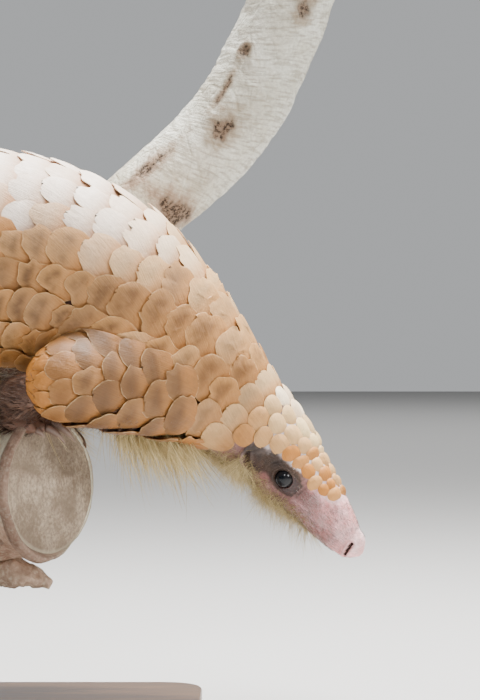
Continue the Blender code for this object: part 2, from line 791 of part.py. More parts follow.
def legs():
    """Builds the legs and claws, and returns what cuts the trunk around the fore pair and the hind pair."""
    cutters = {"fore": [], "hind": []}
    wood = perch_cutters()
    for leg in LEGS:
        pieces = leg.upper_pieces()
        upper = solid(leg.name + "_upper", pieces, wood, SCALE_HORN, 90 + PLATE_FACES * (len(pieces) - 1))
        lower = solid(leg.name + "_lower", leg.lower_pieces(), wood + room_for(upper), SKIN, 300)
        for k, claw in enumerate(leg.claw_pieces(), 1):
            solid(f"{leg.name}_claw_{k}", [claw], wood + room_for(lower), CLAW_HORN)
        cutters[leg.name[:4]] += room_for(upper) + room_for(lower)
    return cutters["fore"], cutters["hind"]


def perch():
    solid("perch_limb", [limb_tube()], (), BARK)
    middle = BRANCH.length * BRANCH_SPLIT
    lower_end, upper_end = half_space(BRANCH, middle - GAP / 2, 1), half_space(BRANCH, middle + GAP / 2, -1)
    solid("perch_branch_lower", [branch_tube()], [limb_tube(GAP), lower_end], BARK)
    solid("perch_branch_upper", [branch_tube()], [upper_end], BARK)


def turned(profile, place, sides=16):
    """Points and faces of a round piece from (radius, height) pairs."""
    points = [
        np.array([place[0] + r * math.cos(a), place[1] + r * math.sin(a), z])
        for r, z in profile
        for a in [2 * math.pi * k / sides for k in range(sides)]
    ]
    count = len(profile)
    faces = [list(range(sides))[::-1], [(count - 1) * sides + k for k in range(sides)]]
    for i in range(count - 1):
        for k in range(sides):
            a, b = i * sides + k, i * sides + (k + 1) % sides
            faces.append([a, b, b + sides, a + sides])
    return points, faces


def stand():
    length, depth, thick = BASE_SIZE
    outline = []
    for cx, cy, first in ((1, 1, 0), (-1, 1, 90), (-1, -1, 180), (1, -1, 270)):
        for step in range(6):
            angle = math.radians(first + 18 * step)
            x = cx * (length / 2 - BASE_CORNER) + BASE_CORNER * math.cos(angle)
            y = cy * (depth / 2 - BASE_CORNER) + BASE_CORNER * math.sin(angle)
            outline.append((x, y))
    count = len(outline)
    points = [(x, y, 0) for x, y in outline] + [(x, y, thick - BASE_EDGE) for x, y in outline]
    shrink = (1 - 2 * BASE_EDGE / length, 1 - 2 * BASE_EDGE / depth)
    points += [(x * shrink[0], y * shrink[1], thick) for x, y in outline]
    faces = [list(range(count))[::-1], [2 * count + k for k in range(count)]]
    for layer in (0, count):
        for k in range(count):
            n = (k + 1) % count
            faces.append([layer + k, layer + n, layer + count + n, layer + count + k])
    solid("stand_base", [(points, faces)], (), BASE_WOOD)
    foot = BASE_SIZE[2] + GAP
    flange_radius, flange_height = ROD_FLANGE
    for n, place in enumerate(ROD_PLACES, 1):
        profile = [
            (flange_radius, foot),
            (flange_radius, foot + flange_height * 0.7),
            (flange_radius - 1.5 * MM, foot + flange_height),
            (ROD_RADIUS, foot + flange_height),
            (ROD_RADIUS, LIMB_AXIS[1] - ROD_SUNK),
        ]
        solid(f"stand_rod_{n}", [turned(profile, place)], [limb_tube(GAP)], STEEL)


def build():
    for obj in list(bpy.data.objects):
        bpy.data.objects.remove(obj)
    root = bpy.data.objects.new("pangolin_on_stand", None)
    bpy.context.scene.collection.objects.link(root)
    stand()
    perch()
    fore, hind = legs()
    trunk(fore, hind)
    tail(hind)
    head()
    eyes()
    ears()
    for obj in bpy.context.scene.collection.objects:
        if obj.type == "MESH":
            obj.parent = root


build()
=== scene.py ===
# The looks of a life-size pangolin model on its perch and stand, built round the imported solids.
# Metres, +Z up. The head end is at +X and the animal's right side faces -Y, as in the solids.
import json
import math

import bpy
import numpy as np
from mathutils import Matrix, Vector

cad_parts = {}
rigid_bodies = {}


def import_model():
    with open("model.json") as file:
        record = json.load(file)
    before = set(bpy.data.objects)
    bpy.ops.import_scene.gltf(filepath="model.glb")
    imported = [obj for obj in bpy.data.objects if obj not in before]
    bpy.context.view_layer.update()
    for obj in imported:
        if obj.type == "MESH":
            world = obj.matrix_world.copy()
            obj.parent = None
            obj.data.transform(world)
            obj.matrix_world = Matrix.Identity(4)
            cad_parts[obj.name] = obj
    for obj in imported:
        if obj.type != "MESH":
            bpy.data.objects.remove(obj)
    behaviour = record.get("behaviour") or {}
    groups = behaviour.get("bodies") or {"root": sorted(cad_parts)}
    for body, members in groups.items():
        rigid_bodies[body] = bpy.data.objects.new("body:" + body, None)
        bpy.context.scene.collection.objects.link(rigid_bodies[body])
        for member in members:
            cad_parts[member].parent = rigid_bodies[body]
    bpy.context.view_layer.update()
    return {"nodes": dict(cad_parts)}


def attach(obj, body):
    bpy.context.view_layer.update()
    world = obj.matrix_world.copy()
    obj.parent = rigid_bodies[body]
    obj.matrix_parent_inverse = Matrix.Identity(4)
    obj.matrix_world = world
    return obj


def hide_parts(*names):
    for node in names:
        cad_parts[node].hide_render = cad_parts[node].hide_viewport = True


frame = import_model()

MM = 0.001
UP = np.array([0.0, 0.0, 1.0])

# The camera: its place, and the height of what it sees at the animal's middle plane.
CAMERA_PLACE = (222.4 * MM, -1450 * MM, 215 * MM)
VIEW_TALL = 392 * MM
SENSOR = 36.0

# The perch and the stand, as in the solids. Rows hold x, y, z and radius in millimetres.
BASE_SIZE = (400 * MM, 210 * MM, 16 * MM)
BASE_CORNER = 24 * MM
BASE_EDGE = 2.5 * MM
ROD_RADIUS = 6 * MM
ROD_FLANGE = (15 * MM, 4 * MM)
ROD_PLACES = ((-95 * MM, 4 * MM), (50 * MM, 0 * MM))
ROD_TOP_DROP = 46 * MM
LIMB_AXIS = (4 * MM, 138 * MM)
LIMB_RADIUS = 52 * MM
LIMB_ROWS = ((-318, 5, 137, 50.5), (-200, 4, 137.5, 51.5), (-60, 4, 138, 52), (40, 3, 138, 52.5),
             (68, -4, 138, 52), (88, -14, 139.4, 46.5), (102, -25, 140.4, 39.5), (119.6, -38, 140.6, 36.5))
BRANCH_ROWS = ((18, 12, 146, 30), (58, 62, 178, 28.5), (95, 90, 228, 27), (130, 97, 268, 26.5),
               (170, 99, 305, 26), (212, 100, 345, 26), (236, 100, 385, 25.5),
               (255, 100, 428, 25), (269, 100, 466, 24.5))

# The body's sections from nose to rump: x, y, z, half width, height of the back, depth of the belly.
BODY_ROWS = (
    (289.5, -15, 101.5, 4, 4, 4), (286, -14.5, 105.5, 7.5, 7.3, 7.3), (281, -13.5, 110.6, 10, 10, 10),
    (273.2, -12, 120.9, 12.5, 13.2, 13.5), (265.9, -10.5, 130.9, 15.5, 15.5, 16),
    (259, -9, 139.3, 18.5, 18, 19), (252.4, -7.5, 146.8, 21, 20, 21.3), (243.6, -5.5, 159.5, 25, 22.5, 24.5),
    (236.4, -4, 167.3, 27.5, 24.5, 27), (219.5, -2, 183, 32, 29, 31.5), (202, -1, 200.5, 38, 35.5, 41),
    (181, 0, 217.5, 45, 46, 49), (157, 0, 233, 51, 56, 53), (132, 0, 248, 55, 59.5, 56.5),
    (106, 0, 258, 58, 62, 60), (73, 0, 263.5, 60, 63, 65), (28, 0, 265, 61, 62, 67.5), (-22, 0, 261, 59, 60, 63),
    (-64, 0, 252, 55.5, 56, 55), (-104, 0, 239, 50.5, 48.5, 45), (-140, 0, 228, 45.5, 40.5, 35.5),
)

# The tail leaves the rump along the limb and winds round it.
TAIL_START = -172 * MM
TAIL_LENGTH = 360 * MM
TAIL_TURN = math.radians(76)
TAIL_STRAIGHT = 95 * MM
TAIL_CLEARANCE = 3.4 * MM
TAIL_RADII = ((41.5 * MM, 9 * MM), (33 * MM, 5.5 * MM), (29 * MM, 5.5 * MM))
TAIL_TIP = [3.5 * MM, 2.5 * MM, 2.5 * MM]

# Legs: x, y, z, half width along the body's side, outer and inner depth.
FORE_UPPER = ((196, -18, 196, 20, 12, 12), (176, -37, 194.5, 22, 14, 13), (157, -49, 194.5, 21.5, 15, 13),
              (139, -57.5, 196, 20.5, 14.5, 12), (123, -62.5, 197, 18, 12.5, 11),
              (112.5, -64, 197.5, 12, 8.5, 8), (108, -64.5, 197.5, 5, 4, 4))
FORE_LOWER_RIGHT = ((115, -60, 193, 11, 10, 10), (104, -55, 190, 12, 11, 11), (100, -47, 182, 10, 9, 9))
FORE_LOWER_LEFT = ((116, 62, 190, 11, 10, 10), (113, 38, 186, 12, 11, 11), (104, 8, 177, 9, 8, 8))
HIND_UPPER = ((-78, -24, 242, 30, 18, 16), (-68, -40, 234, 34, 18, 16), (-54, -54, 219, 29, 17, 15),
              (-44, -63, 205, 21, 15, 14), (-40, -66, 193, 9, 9, 9))
HIND_LOWER = ((-40, -64, 203, 13, 13, 13), (-53, -64, 193, 15, 14, 14), (-66, -54, 184, 14, 12, 12))
HIND_FAR_SHIFT = 14
FORE_CLAWS = (6, 14, 17, 13, 5)
HIND_CLAWS = (6, 10, 11, 10, 6)

# Places on the head, as millimetres from the nose and degrees of turn from the middle of the back.
EYE_PLACE = (58.3, 98)
EAR_PLACE = (80.2, 119.6)
EYE_DOT = (EYE_PLACE, (58.5, 98))
EYE_PATCH = ((62, 96), (68, 94), (76, 100), (84, 110), (81, 118))
MAUVE_BAND = ((56, 95), (44, 94), (32, 104), (22, 112))
MOUTH = ((15, 138), (12, 144), (9, 148), (6.5, 151), (4.8, 160), (4.4, 180))
NOSTRIL = ((7.45, 79), (7.05, 100), (6.65, 120), (6.3, 140))
EAR_FOLD = ((83.5, 110), (79, 97), (71, 87))
LIDS = ((0, -3.4), (4.2, -3.2), (4.7, -1.0), (5.0, 0.5), (5.6, 1.25), (6.2, 0.95), (6.7, 0.35), (7.3, 0.75),
        (8.0, 0.25), (8.8, 0.5), (9.7, 0.08), (10.8, 0.22), (12.5, 0.0), (40, 0.0))

# The head's radius in mm at its landmarks, which takes turns to distances round it.
EYE_GIRTH, PATCH_GIRTH, EAR_GIRTH, BAND_GIRTH, MOUTH_GIRTH, NOSTRIL_GIRTH = 21, 24, 26, 18, 9.5, 8.3
EYE_RADIUS = 5.3 * MM
EYE_SUNK = 2.1 * MM
NOSE_ROUND = 5.5 * MM
TAIL_ROUND = 3.0 * MM
SKIN_DEPTH = 0.5 * MM

# Spacing of the skin's rings on the face and behind it, its corners round, and the grain of the leg skin.
FACE_PITCH = 0.5 * MM
TRUNK_PITCH = 4.5 * MM
SKIN_SIDES = 240
LEG_VOXEL = 1.1 * MM

# Along the body: how far scales reach round from the back in degrees, their width, pitch and height in mm.
REACH = ((31, 46), (36, 64), (41, 70), (49, 66), (63, 74), (71, 83), (78, 93), (88, 114), (99, 142),
         (110, 158), (150, 160), (200, 152), (247, 146), (330, 138), (470, 132), (520, 150), (556, 180))
SCALE_WIDE = ((31, 5.6), (49, 7.4), (70, 9.2), (88, 11.5), (102, 15), (122, 18), (180, 18.5), (250, 16.5),
              (330, 16), (470, 15.5), (560, 14), (700, 11), (835, 6.5))
SCALE_PITCH = ((31, 5.0), (49, 6.6), (70, 8.0), (88, 9.6), (102, 12), (122, 14), (180, 14), (250, 13),
               (470, 12.5), (560, 12), (700, 10), (835, 6.5))
SCALE_RISE = ((31, 0.9), (60, 1.2), (88, 1.7), (110, 2.6), (250, 3.0), (470, 3.0), (600, 2.5), (835, 1.4))

# A scale's rings of points from its middle out and back underneath: share of the outline, and drop.
PLATE_RINGS = ((0, 0), (0.34, 0), (0.64, 0), (0.86, 0), (0.96, 0), (1.0, 0), (1.0, 0.14), (0, 0.34))
PLATE_SINK = 0.9 * MM
BURIED = 1.5 * MM
SOFT = 8.0 * MM
SHARP_CREASE = math.radians(50)
STAND_CREASE = math.radians(40)
# Primes that turn a cell's place into a number that looks random.
HASH = (73856093, 19349663, 83492791, 7919, 1274126177)


def unit(v):
    v = np.asarray(v, float)
    return v / np.maximum(np.linalg.norm(v, axis=-1, keepdims=True), 1e-12)


def dot(a, b):
    return np.sum(a * b, axis=-1, keepdims=True)


def smooth(value, low, high):
    """0 below low, 1 above high, and a soft step between them."""
    share = np.clip((np.asarray(value, float) - low) / (high - low), 0, 1)
    return share * share * (3 - 2 * share)


def hill(x, width, power=2):
    """1 where x is 0, and falling to nothing beyond a width."""
    return np.exp(-((x / width) ** power))


def around(count, start=-math.pi):
    """Angles at even steps round a full turn."""
    return np.linspace(start, start + 2 * math.pi, count, endpoint=False)


def along_table(table, s):
    """A value read from pairs of millimetres along the body and value."""
    return np.interp(s, *zip(*table))


def noise_at(points, size, seed=0):
    """Smooth random values from -1 to 1 at points, with features about a size in millimetres across."""
    grid = np.asarray(points, float) / (size * MM) + 71.3 * (seed + 1)
    cell = np.floor(grid).astype(np.int64)
    share = grid - cell
    share = share * share * (3 - 2 * share)
    total = np.zeros(grid.shape[:-1])
    for corner in range(8):
        step = np.array([corner & 1, corner >> 1 & 1, corner >> 2 & 1])
        spot = cell + step
        mixed = spot[..., 0] * HASH[0] ^ spot[..., 1] * HASH[1] ^ spot[..., 2] * HASH[2] ^ seed * HASH[3]
        mixed = (mixed ^ mixed >> 13) * HASH[4]
        mixed = mixed ^ mixed >> 16
        value = (mixed & 0xFFFF) / 32767.5 - 1
        total += value * np.prod(np.where(step, share, 1 - share), axis=-1)
    return total


def rough(points, *waves):
    """Noises added up, each given as a height, a size in millimetres and a seed."""
    return sum(height * noise_at(points, size, seed) for height, size, seed in waves)


class Rail:
    """Smooth sections along a line. Rows hold centre, direction of the back, half width, back and belly."""

    def __init__(self, rows):
        self.rows = np.array(rows, float)
        steps = np.linalg.norm(np.diff(self.rows[:, :3], axis=0), axis=1)
        self.knots = np.concatenate([[0.0], np.cumsum(steps)])
        self.length = float(self.knots[-1])
        self.slopes = np.gradient(self.rows, self.knots, axis=0)

    def values(self, s):
        s = np.clip(np.asarray(s, float), 0, self.length)
        k = np.clip(np.searchsorted(self.knots, s, side="right") - 1, 0, len(self.knots) - 2)
        h = (self.knots[k + 1] - self.knots[k])[..., None]
        t = (s - self.knots[k])[..., None] / h
        ends = (2 * t**3 - 3 * t**2 + 1) * self.rows[k] + (3 * t**2 - 2 * t**3) * self.rows[k + 1]
        return ends + ((t**3 - 2 * t**2 + t) * self.slopes[k] + (t**3 - t**2) * self.slopes[k + 1]) * h

    def frames(self, s):
        """Centres, directions along, backs, right sides, and the three radii."""
        row = self.values(s)
        s = np.asarray(s, float)
        along = unit(self.values(s + MM)[..., :3] - self.values(s - MM)[..., :3])
        back = unit(row[..., 3:6] - dot(row[..., 3:6], along) * along)
        return row[..., :3], along, back, np.cross(back, along), row[..., 6:9]

    def surface(self, s, turn, lift=0.0, girth=1.0):
        """Points of the surface at turns from the back towards the right side, and their normals."""
        s, turn, lift, girth = np.broadcast_arrays(s, turn, lift, girth)
        centre, _, back, side, radii = self.frames(s)
        sin, cos = np.sin(turn)[..., None], np.cos(turn)[..., None]
        wide = radii[..., :1]
        tall = np.where(cos > 0, radii[..., 1:2], radii[..., 2:3])
        normal = unit(side * sin / wide + back * cos / tall)
        out = (side * wide * sin + back * tall * cos) * girth[..., None]
        return centre + out + normal * lift[..., None], normal

    def half_girth(self, s):
        """Turns round one half of the girth at one s, and the lengths up to them, in millimetres."""
        _, _, _, _, (wide, high, low) = self.frames(s * MM)
        angles = np.linspace(0, math.pi, 73)
        tall = np.where(np.cos(angles) > 0, high, low)
        line = np.stack([wide * np.sin(angles), tall * np.cos(angles)], axis=1)
        steps = np.linalg.norm(np.diff(line, axis=0), axis=1)
        return angles, np.concatenate([[0], np.cumsum(steps)]) / MM

    def locate(self, points, samples=400):
        """For each point: the nearest distance along, the turn, and roughly its height over the surface."""
        points = np.asarray(points, float)
        s = np.linspace(0, self.length, samples)
        centres, along, back, side, radii = self.frames(s)
        near = np.empty(len(points), int)
        middle, reach = centres.mean(axis=0), radii.mean(axis=1)
        knots = centres - middle
        for start in range(0, len(points), 20000):
            block = points[start:start + 20000] - middle
            square = (block**2).sum(axis=1)[:, None] + (knots**2).sum(axis=1)[None] - 2 * block @ knots.T
            near[start:start + 20000] = (np.sqrt(np.maximum(square, 0)) - reach).argmin(axis=1)
        offset = points - centres[near]
        shift, x, y = (np.sum(offset * axis[near], axis=1) for axis in (along, side, back))
        wide, tall = radii[near, 0], np.where(y > 0, radii[near, 1], radii[near, 2])
        over = np.abs(shift) - self.length / samples
        height = (np.hypot(x / wide, y / tall) - 1) * np.minimum(wide, tall)
        ends = (near == 0) | (near == samples - 1)
        height = np.where(ends & (over > 0), np.maximum(height, over), height)
        return s[near], np.arctan2(x / wide, y / tall), height


def rail(rows, back=UP):
    """A rail from rows of x, y, z and radii in millimetres, all with the same back direction."""
    full = []
    for x, y, z, *radii in rows:
        wide, high, low = radii if len(radii) == 3 else radii * 3
        full.append([x * MM, y * MM, z * MM, *back, wide * MM, high * MM, low * MM])
    return Rail(full)


def tail_rows():
    """Sections of the tail, worked out on the limb's surface as if it were unrolled."""
    rows = []
    steps = 44
    x, angle = TAIL_START, 0.0
    for i in range(steps + 1):
        share = i / steps
        fade = (1 - share) ** 0.85
        wide, high, low = (end + (start - end) * fade for start, end in TAIL_RADII)
        low *= 1 - 0.35 * math.sin(math.pi * min(share * 1.6, 1.0))
        reach = LIMB_RADIUS + low + TAIL_CLEARANCE
        outward = np.array([0.0, -math.sin(angle), math.cos(angle)])
        centre = np.array([x, *LIMB_AXIS]) + reach * outward
        if i % 4 == 0:
            rows.append([*centre, *outward, wide, high, low])
        heading = TAIL_TURN * min(1.0, share * TAIL_LENGTH / TAIL_STRAIGHT)
        x -= TAIL_LENGTH / steps * math.cos(heading)
        angle += TAIL_LENGTH / steps * math.sin(heading) / reach
    rows[-1] = rows[-1][:6] + TAIL_TIP
    return rows


def mirrored(rows, shift=0.0):
    return tuple((x + shift, -y, *rest) for x, y, *rest in rows)


BODY = Rail([*rail(BODY_ROWS).rows.tolist(), *tail_rows()])
LIMB = rail(LIMB_ROWS)
BRANCH = rail(BRANCH_ROWS)


def added(name, data, place=(0, 0, 0)):
    obj = bpy.data.objects.new(name, data)
    bpy.context.scene.collection.objects.link(obj)
    obj.location = place
    return obj


def mesh_object(name, points, faces, material=None):
    """A piece from points and blocks of faces, each block an array with one count of corners."""
    mesh = bpy.data.meshes.new(name)
    rows = [row for block in faces for row in block.tolist()]
    mesh.from_pydata(points.tolist(), [], rows)
    mesh.shade_smooth()
    if material:
        mesh.materials.append(material)
    return added(name, mesh)


def declared(obj, slot, *nodes):
    """Hides the solids that a piece stands for. Its slot is not used."""
    if nodes:
        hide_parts(*nodes)
    return obj


def set_values(obj, **values):
    """Stores a number for each point of a mesh, 0 for those beyond the last, for its material to read."""
    for name, data in values.items():
        full = np.zeros(len(obj.data.vertices), np.float32)
        full[:np.size(data)] = np.ravel(data)
        obj.data.attributes.new(name, "FLOAT", "POINT").data.foreach_set("value", full)


def set_bake_map(obj, places):
    """The OFBake map of a piece, from one place for each point."""
    layer = obj.data.uv_layers.new(name="OFBake")
    corners = np.empty(len(obj.data.loops), np.int32)
    obj.data.loops.foreach_get("vertex_index", corners)
    layer.data.foreach_set("uv", places.reshape(-1, 2).astype(np.float32)[corners].ravel())


def modify(obj, kind, **settings):
    modifier = obj.modifiers.new(kind.lower(), kind)
    for key, value in settings.items():
        setattr(modifier, key, value)


def applied(obj):
    """Bakes an object's modifiers into its mesh."""
    graph = bpy.context.evaluated_depsgraph_get()
    result = bpy.data.meshes.new_from_object(obj.evaluated_get(graph))
    obj.modifiers.clear()
    old, obj.data = obj.data, result
    bpy.data.meshes.remove(old)


def mesh_points(obj):
    points = np.empty(len(obj.data.vertices) * 3, np.float32)
    obj.data.vertices.foreach_get("co", points)
    return points.reshape(-1, 3).astype(float)


def ring_faces(rings, sides):
    """Quads between successive rings of points."""
    k = np.arange(sides)[None]
    starts = np.arange(rings - 1)[:, None] * sides
    a, b = starts + k, starts + (k + 1) % sides
    return np.stack([a, b, b + sides, a + sides], axis=-1).reshape(-1, 4)


def fan(sides, start, middle, backward=False):
    """Triangles from a ring of points to a middle point."""
    k = np.arange(sides)
    a, b = start + k, start + (k + 1) % sides
    return np.stack([b, a, np.full(sides, middle)] if backward else [a, b, np.full(sides, middle)], axis=1)


def capped(grid):
    """Points and faces of a closed skin from rings of points, with a point in the middle of each end."""
    rings, sides = grid.shape[:2]
    points = np.concatenate([grid.reshape(-1, 3), grid[0].mean(axis=0)[None], grid[-1].mean(axis=0)[None]])
    total = rings * sides
    caps = [fan(sides, 0, total, True), fan(sides, total - sides, total + 1)]
    return points, [ring_faces(rings, sides), *caps]


def repeated(faces, count, size):
    """The same faces again for each of many equal groups of points."""
    return (faces[None] + np.arange(count)[:, None, None] * size).reshape(-1, faces.shape[1])


def tube(line, rings, sides, lift, rounded):
    """Points and faces of a closed tube along a rail, with its ends rounded over a length."""
    s = line.length * (1 - np.cos(np.linspace(0, math.pi, rings))) / 2
    girth = np.ones(rings)
    for left in (s, line.length - s):
        girth *= np.sqrt(np.clip(1 - (1 - np.clip(left / rounded, 0, 1)) ** 2, 0.002, 1))
    points, _ = line.surface(s[:, None], around(sides, 0)[None], lift, girth[:, None])
    return capped(points)


class Leg:
    """One leg: an upper rail from the trunk, a lower rail, and a foot with five digits and claws."""

    def __init__(self, name, upper, lower, foot, outward, claws):
        self.name, self.claws = name, claws
        self.upper, self.lower = rail(upper, outward), rail(lower, outward)
        heel, forward, up, *size = foot
        self.heel, self.forward = np.array(heel, float) * MM, unit(forward)
        self.up = unit(np.asarray(up, float) - np.dot(up, self.forward) * self.forward)
        self.side = np.cross(self.forward, self.up)
        self.length, self.wide, self.thick = (v * MM for v in size)

    def pad(self):
        rows = []
        for share, girth in ((-0.25, 0.55), (0.0, 0.85), (0.35, 1.0), (0.7, 0.95), (0.88, 0.6)):
            half = self.thick / 2 * girth
            place = self.heel + self.forward * self.length * share
            rows.append([*place, *self.up, self.wide / 2 * girth, half, half])
        return Rail(rows)

    def digits(self):
        """Start, end, direction and radius of each digit, from the inner side to the outer."""
        for k, share in enumerate((0.66, 0.94, 1.0, 0.92, 0.62)):
            offset = (k - 2) / 2
            aim = unit(self.forward + self.side * offset * 0.22 - self.up * 0.12)
            start = self.heel + self.forward * self.length * 0.45 + self.side * offset * self.wide * 0.36
            yield start, start + aim * self.length * 0.62 * share, aim, (2.6 if k in (0, 4) else 3.2) * MM

    def digit_rails(self):
        for start, end, aim, radius in self.digits():
            yield Rail([[*(start + (end - start) * t), *self.up, radius * g, radius * g, radius * g]
                        for t, g in ((0, 1.05), (0.35, 0.95), (0.7, 1.08), (1.0, 0.92))])

    def claw_rails(self):
        """Each claw as a rail: a curved cone that starts at its digit's end."""
        steps = 8
        bend = math.radians(55 / steps)
        for (_, end, aim, radius), length in zip(self.digits(), self.claws):
            rows = []
            place, heading = end - aim * 1.2 * MM, aim
            for i in range(steps + 1):
                size = radius * 0.85 * (1 - (i / steps) ** 1.7) + 0.3 * MM
                rows.append([*place, *self.up, size * 0.72, size, size * 0.8])
                heading = unit(heading * math.cos(bend) - self.up * math.sin(bend))
                place = place + heading * (length * MM + 1.2 * MM) / steps
            yield Rail(rows)


RIGHT, LEFT = (0, -1, 0.1), (0, 1, 0.1)
LEGS = (
    Leg("foreleg_right", FORE_UPPER, FORE_LOWER_RIGHT,
        ((97, -47, 179), (0.97, -0.08, -0.10), (0, -0.45, 0.9), 22, 25, 13), RIGHT, FORE_CLAWS),
    Leg("foreleg_left", mirrored(FORE_UPPER), FORE_LOWER_LEFT,
        ((106, 2, 173.5), (0.80, -0.28, -0.10), (0.2, 0.62, 0.75), 22, 24, 13), LEFT, FORE_CLAWS),
    Leg("hindleg_right", HIND_UPPER, HIND_LOWER,
        ((-67, -45, 178), (0.25, -0.62, -0.72), (0, -0.80, 0.60), 31, 30, 15), RIGHT, HIND_CLAWS),
    Leg("hindleg_left", mirrored(HIND_UPPER, HIND_FAR_SHIFT), mirrored(HIND_LOWER, HIND_FAR_SHIFT),
        ((-53, 53, 178), (0.25, 0.62, -0.72), (0, 0.80, 0.60), 31, 30, 15), LEFT, HIND_CLAWS),
)


class Shade:
    """A number or colour inside a material's nodes, which can be remapped, multiplied and mixed."""

    def __init__(self, finish, socket):
        self.finish, self.socket = finish, socket

    def __mul__(self, other):
        return self.finish.maths("MULTIPLY", self, other)

    def __sub__(self, other):
        return self.finish.maths("SUBTRACT", self, other)

    def band(self, low, high, start=0.0, end=1.0):
        """This value taken from one range to another and held at its ends, softly."""
        inputs = {"Value": self, "From Min": low, "From Max": high, "To Min": start, "To Max": end}
        return self.finish.node("MapRange", "Result", inputs, interpolation_type="SMOOTHSTEP")

    def between(self, low, high):
        """A colour that goes from one to another as this value goes from 0 to 1."""
        return self.finish.mix(self, low, high)

    def under(self, *layers):
        """This colour with others laid over it, each by a mask."""
        colour = self
        for mask, over in layers:
            colour = self.finish.mix(mask, colour, over)
        return colour


class Finish:
    """A material that is built node by node."""

    def __init__(self, name, **constants):
        self.material = bpy.data.materials.new(name)
        self.material.use_nodes = True
        self.tree = self.material.node_tree
        self.shader = self.tree.nodes["Principled BSDF"]
        for key, value in constants.items():
            self.shader.inputs[key.replace("_", " ")].default_value = value

    def node(self, kind, output, inputs=(), **settings):
        made = self.tree.nodes.new("ShaderNode" + kind)
        for key, value in settings.items():
            setattr(made, key, value)
        for key, value in dict(inputs).items():
            if isinstance(value, Shade):
                self.tree.links.new(value.socket, made.inputs[key])
            else:
                made.inputs[key].default_value = value
        return Shade(self, made.outputs[output])

    def values(self, names):
        """The numbers that the mesh stores under these names."""
        return [self.node("Attribute", "Fac", attribute_name=name) for name in names.split()]

    def place(self, scale=(1, 1, 1), turn=(0, 0, 0)):
        """Where a point lies on the piece, stretched."""
        spot = self.node("TexCoord", "Object")
        return self.node("Mapping", "Vector", {"Vector": spot, "Scale": scale, "Rotation": turn})

    def combined(self, x, y, z=0.0):
        return self.node("CombineXYZ", "Vector", {"X": x, "Y": y, "Z": z})

    def noise(self, scale, vector=None, detail=3.0, rough=0.55, warp=0.0):
        inputs = {"Scale": scale, "Detail": detail, "Roughness": rough, "Distortion": warp}
        return self.node("TexNoise", "Fac", inputs | {"Vector": vector or self.place()})

    def edges(self, scale, vector=None):
        """Distance to the borders between random cells."""
        inputs = {"Scale": scale, "Vector": vector or self.place()}
        return self.node("TexVoronoi", "Distance", inputs, feature="DISTANCE_TO_EDGE")

    def maths(self, operation, a, b, clamp=False):
        return self.node("Math", "Value", {0: a, 1: b}, operation=operation, use_clamp=clamp)

    def mix(self, share, a, b, blend="MIX"):
        a, b = ((*colour, 1.0) if isinstance(colour, tuple) else colour for colour in (a, b))
        return self.node("Mix", 2, {0: share, 6: a, 7: b}, data_type="RGBA", blend_type=blend)

    def relief(self, *bumps):
        """Bumps laid on one another, each given as a height, its depth in metres and its strength."""
        under = {}
        for height, depth, strength in bumps:
            inputs = {"Height": height, "Distance": depth, "Strength": strength}
            under = {"Normal": self.node("Bump", "Normal", inputs | under)}
        return under["Normal"]

    def done(self, **shades):
        for key, shade in shades.items():
            self.tree.links.new(shade.socket, self.shader.inputs[key.replace("_", " ")])
        return self.material


TAN = (0.45, 0.225, 0.072)
SAND = (0.29, 0.152, 0.058)
# DUSKY: the scales' darker middles, and also the painted shade low on the flanks and legs.
DUSKY = (0.083, 0.040, 0.015)
GILT = (0.60, 0.225, 0.032)
CREAM = (0.98, 0.76, 0.40)
# The pale of the back: bleached horn with a painted highlight.
FADED_HIGHLIGHT = (0.80, 0.53, 0.29)
BLEACHED_HIGHLIGHT = (0.90, 0.78, 0.67)
AMBER = (0.38, 0.155, 0.036)
WORN_EDGE = (0.80, 0.55, 0.28)
DIRT = (0.13, 0.07, 0.035)


def horn_material():
    """Worn horn: tan with a duskier middle, bleached with a painted highlight on the back, painted shade low on
    the flanks and legs, gilt where the next scale lets it out.
    """
    made = Finish("horn", Specular_IOR_Level=0.35, Coat_Weight=0.06, Coat_Roughness=0.4)
    across, along, rim, tone, bleach, gilt = made.values("across along rim tone bleach gilt")
    blotch = made.noise(95.0, detail=4.0)
    cloud = made.noise(210.0)
    ridges = made.noise(1.0, made.combined(across * 26.0, along * 1.6, tone * 40.0))
    middle = along.band(0.40, 0.62) * rim.band(0.98, 0.45) * blotch.band(0.30, 0.60, 0.35, 1.0)
    middle = middle * bleach.band(0.0, 0.8, 0.85, 0.28)
    # Bleached horn with a painted highlight, where the value is above 0.
    faded_highlight = bleach.band(0.35, 0.9).between(FADED_HIGHLIGHT, BLEACHED_HIGHLIGHT)
    faded_highlight = faded_highlight.under((made.maths("MULTIPLY", gilt, 3.0, clamp=True), CREAM))
    colour = tone.band(0.1, 0.9, 0.0, 0.85).between(TAN, SAND).under(
        (middle, DUSKY),
        # Painted shade: a value below 0 darkens the scale towards DUSKY.
        (bleach.band(-1.0, 0.0, 0.84, 0.0), DUSKY),
        (gilt * 0.85, GILT),
        (bleach * cloud.band(0.3, 0.65, 0.85, 1.0), faded_highlight),
        (along.band(0.72, 0.18) * cloud.band(0.25, 0.6, 0.45, 0.85), AMBER),
        (rim.band(0.93, 1.0) * cloud.band(0.35, 0.6, 0.0, 0.4), WORN_EDGE))
    streaks = ridges.band(0.30, 0.70, 0.90, 1.07)
    colour = made.mix(1.0, colour, made.combined(streaks, streaks, streaks), "MULTIPLY")
    colour = colour.under((made.noise(900.0, detail=2.0).band(0.64, 0.74) * 0.30, DIRT))
    relief = made.relief((cloud, 0.0006, 0.5), (made.noise(420.0), 0.00012, 1.0), (ridges, 0.0003, 0.7))
    return made.done(Base_Color=colour, Roughness=blotch.band(0.3, 0.7, 0.48, 0.66), Normal=relief)


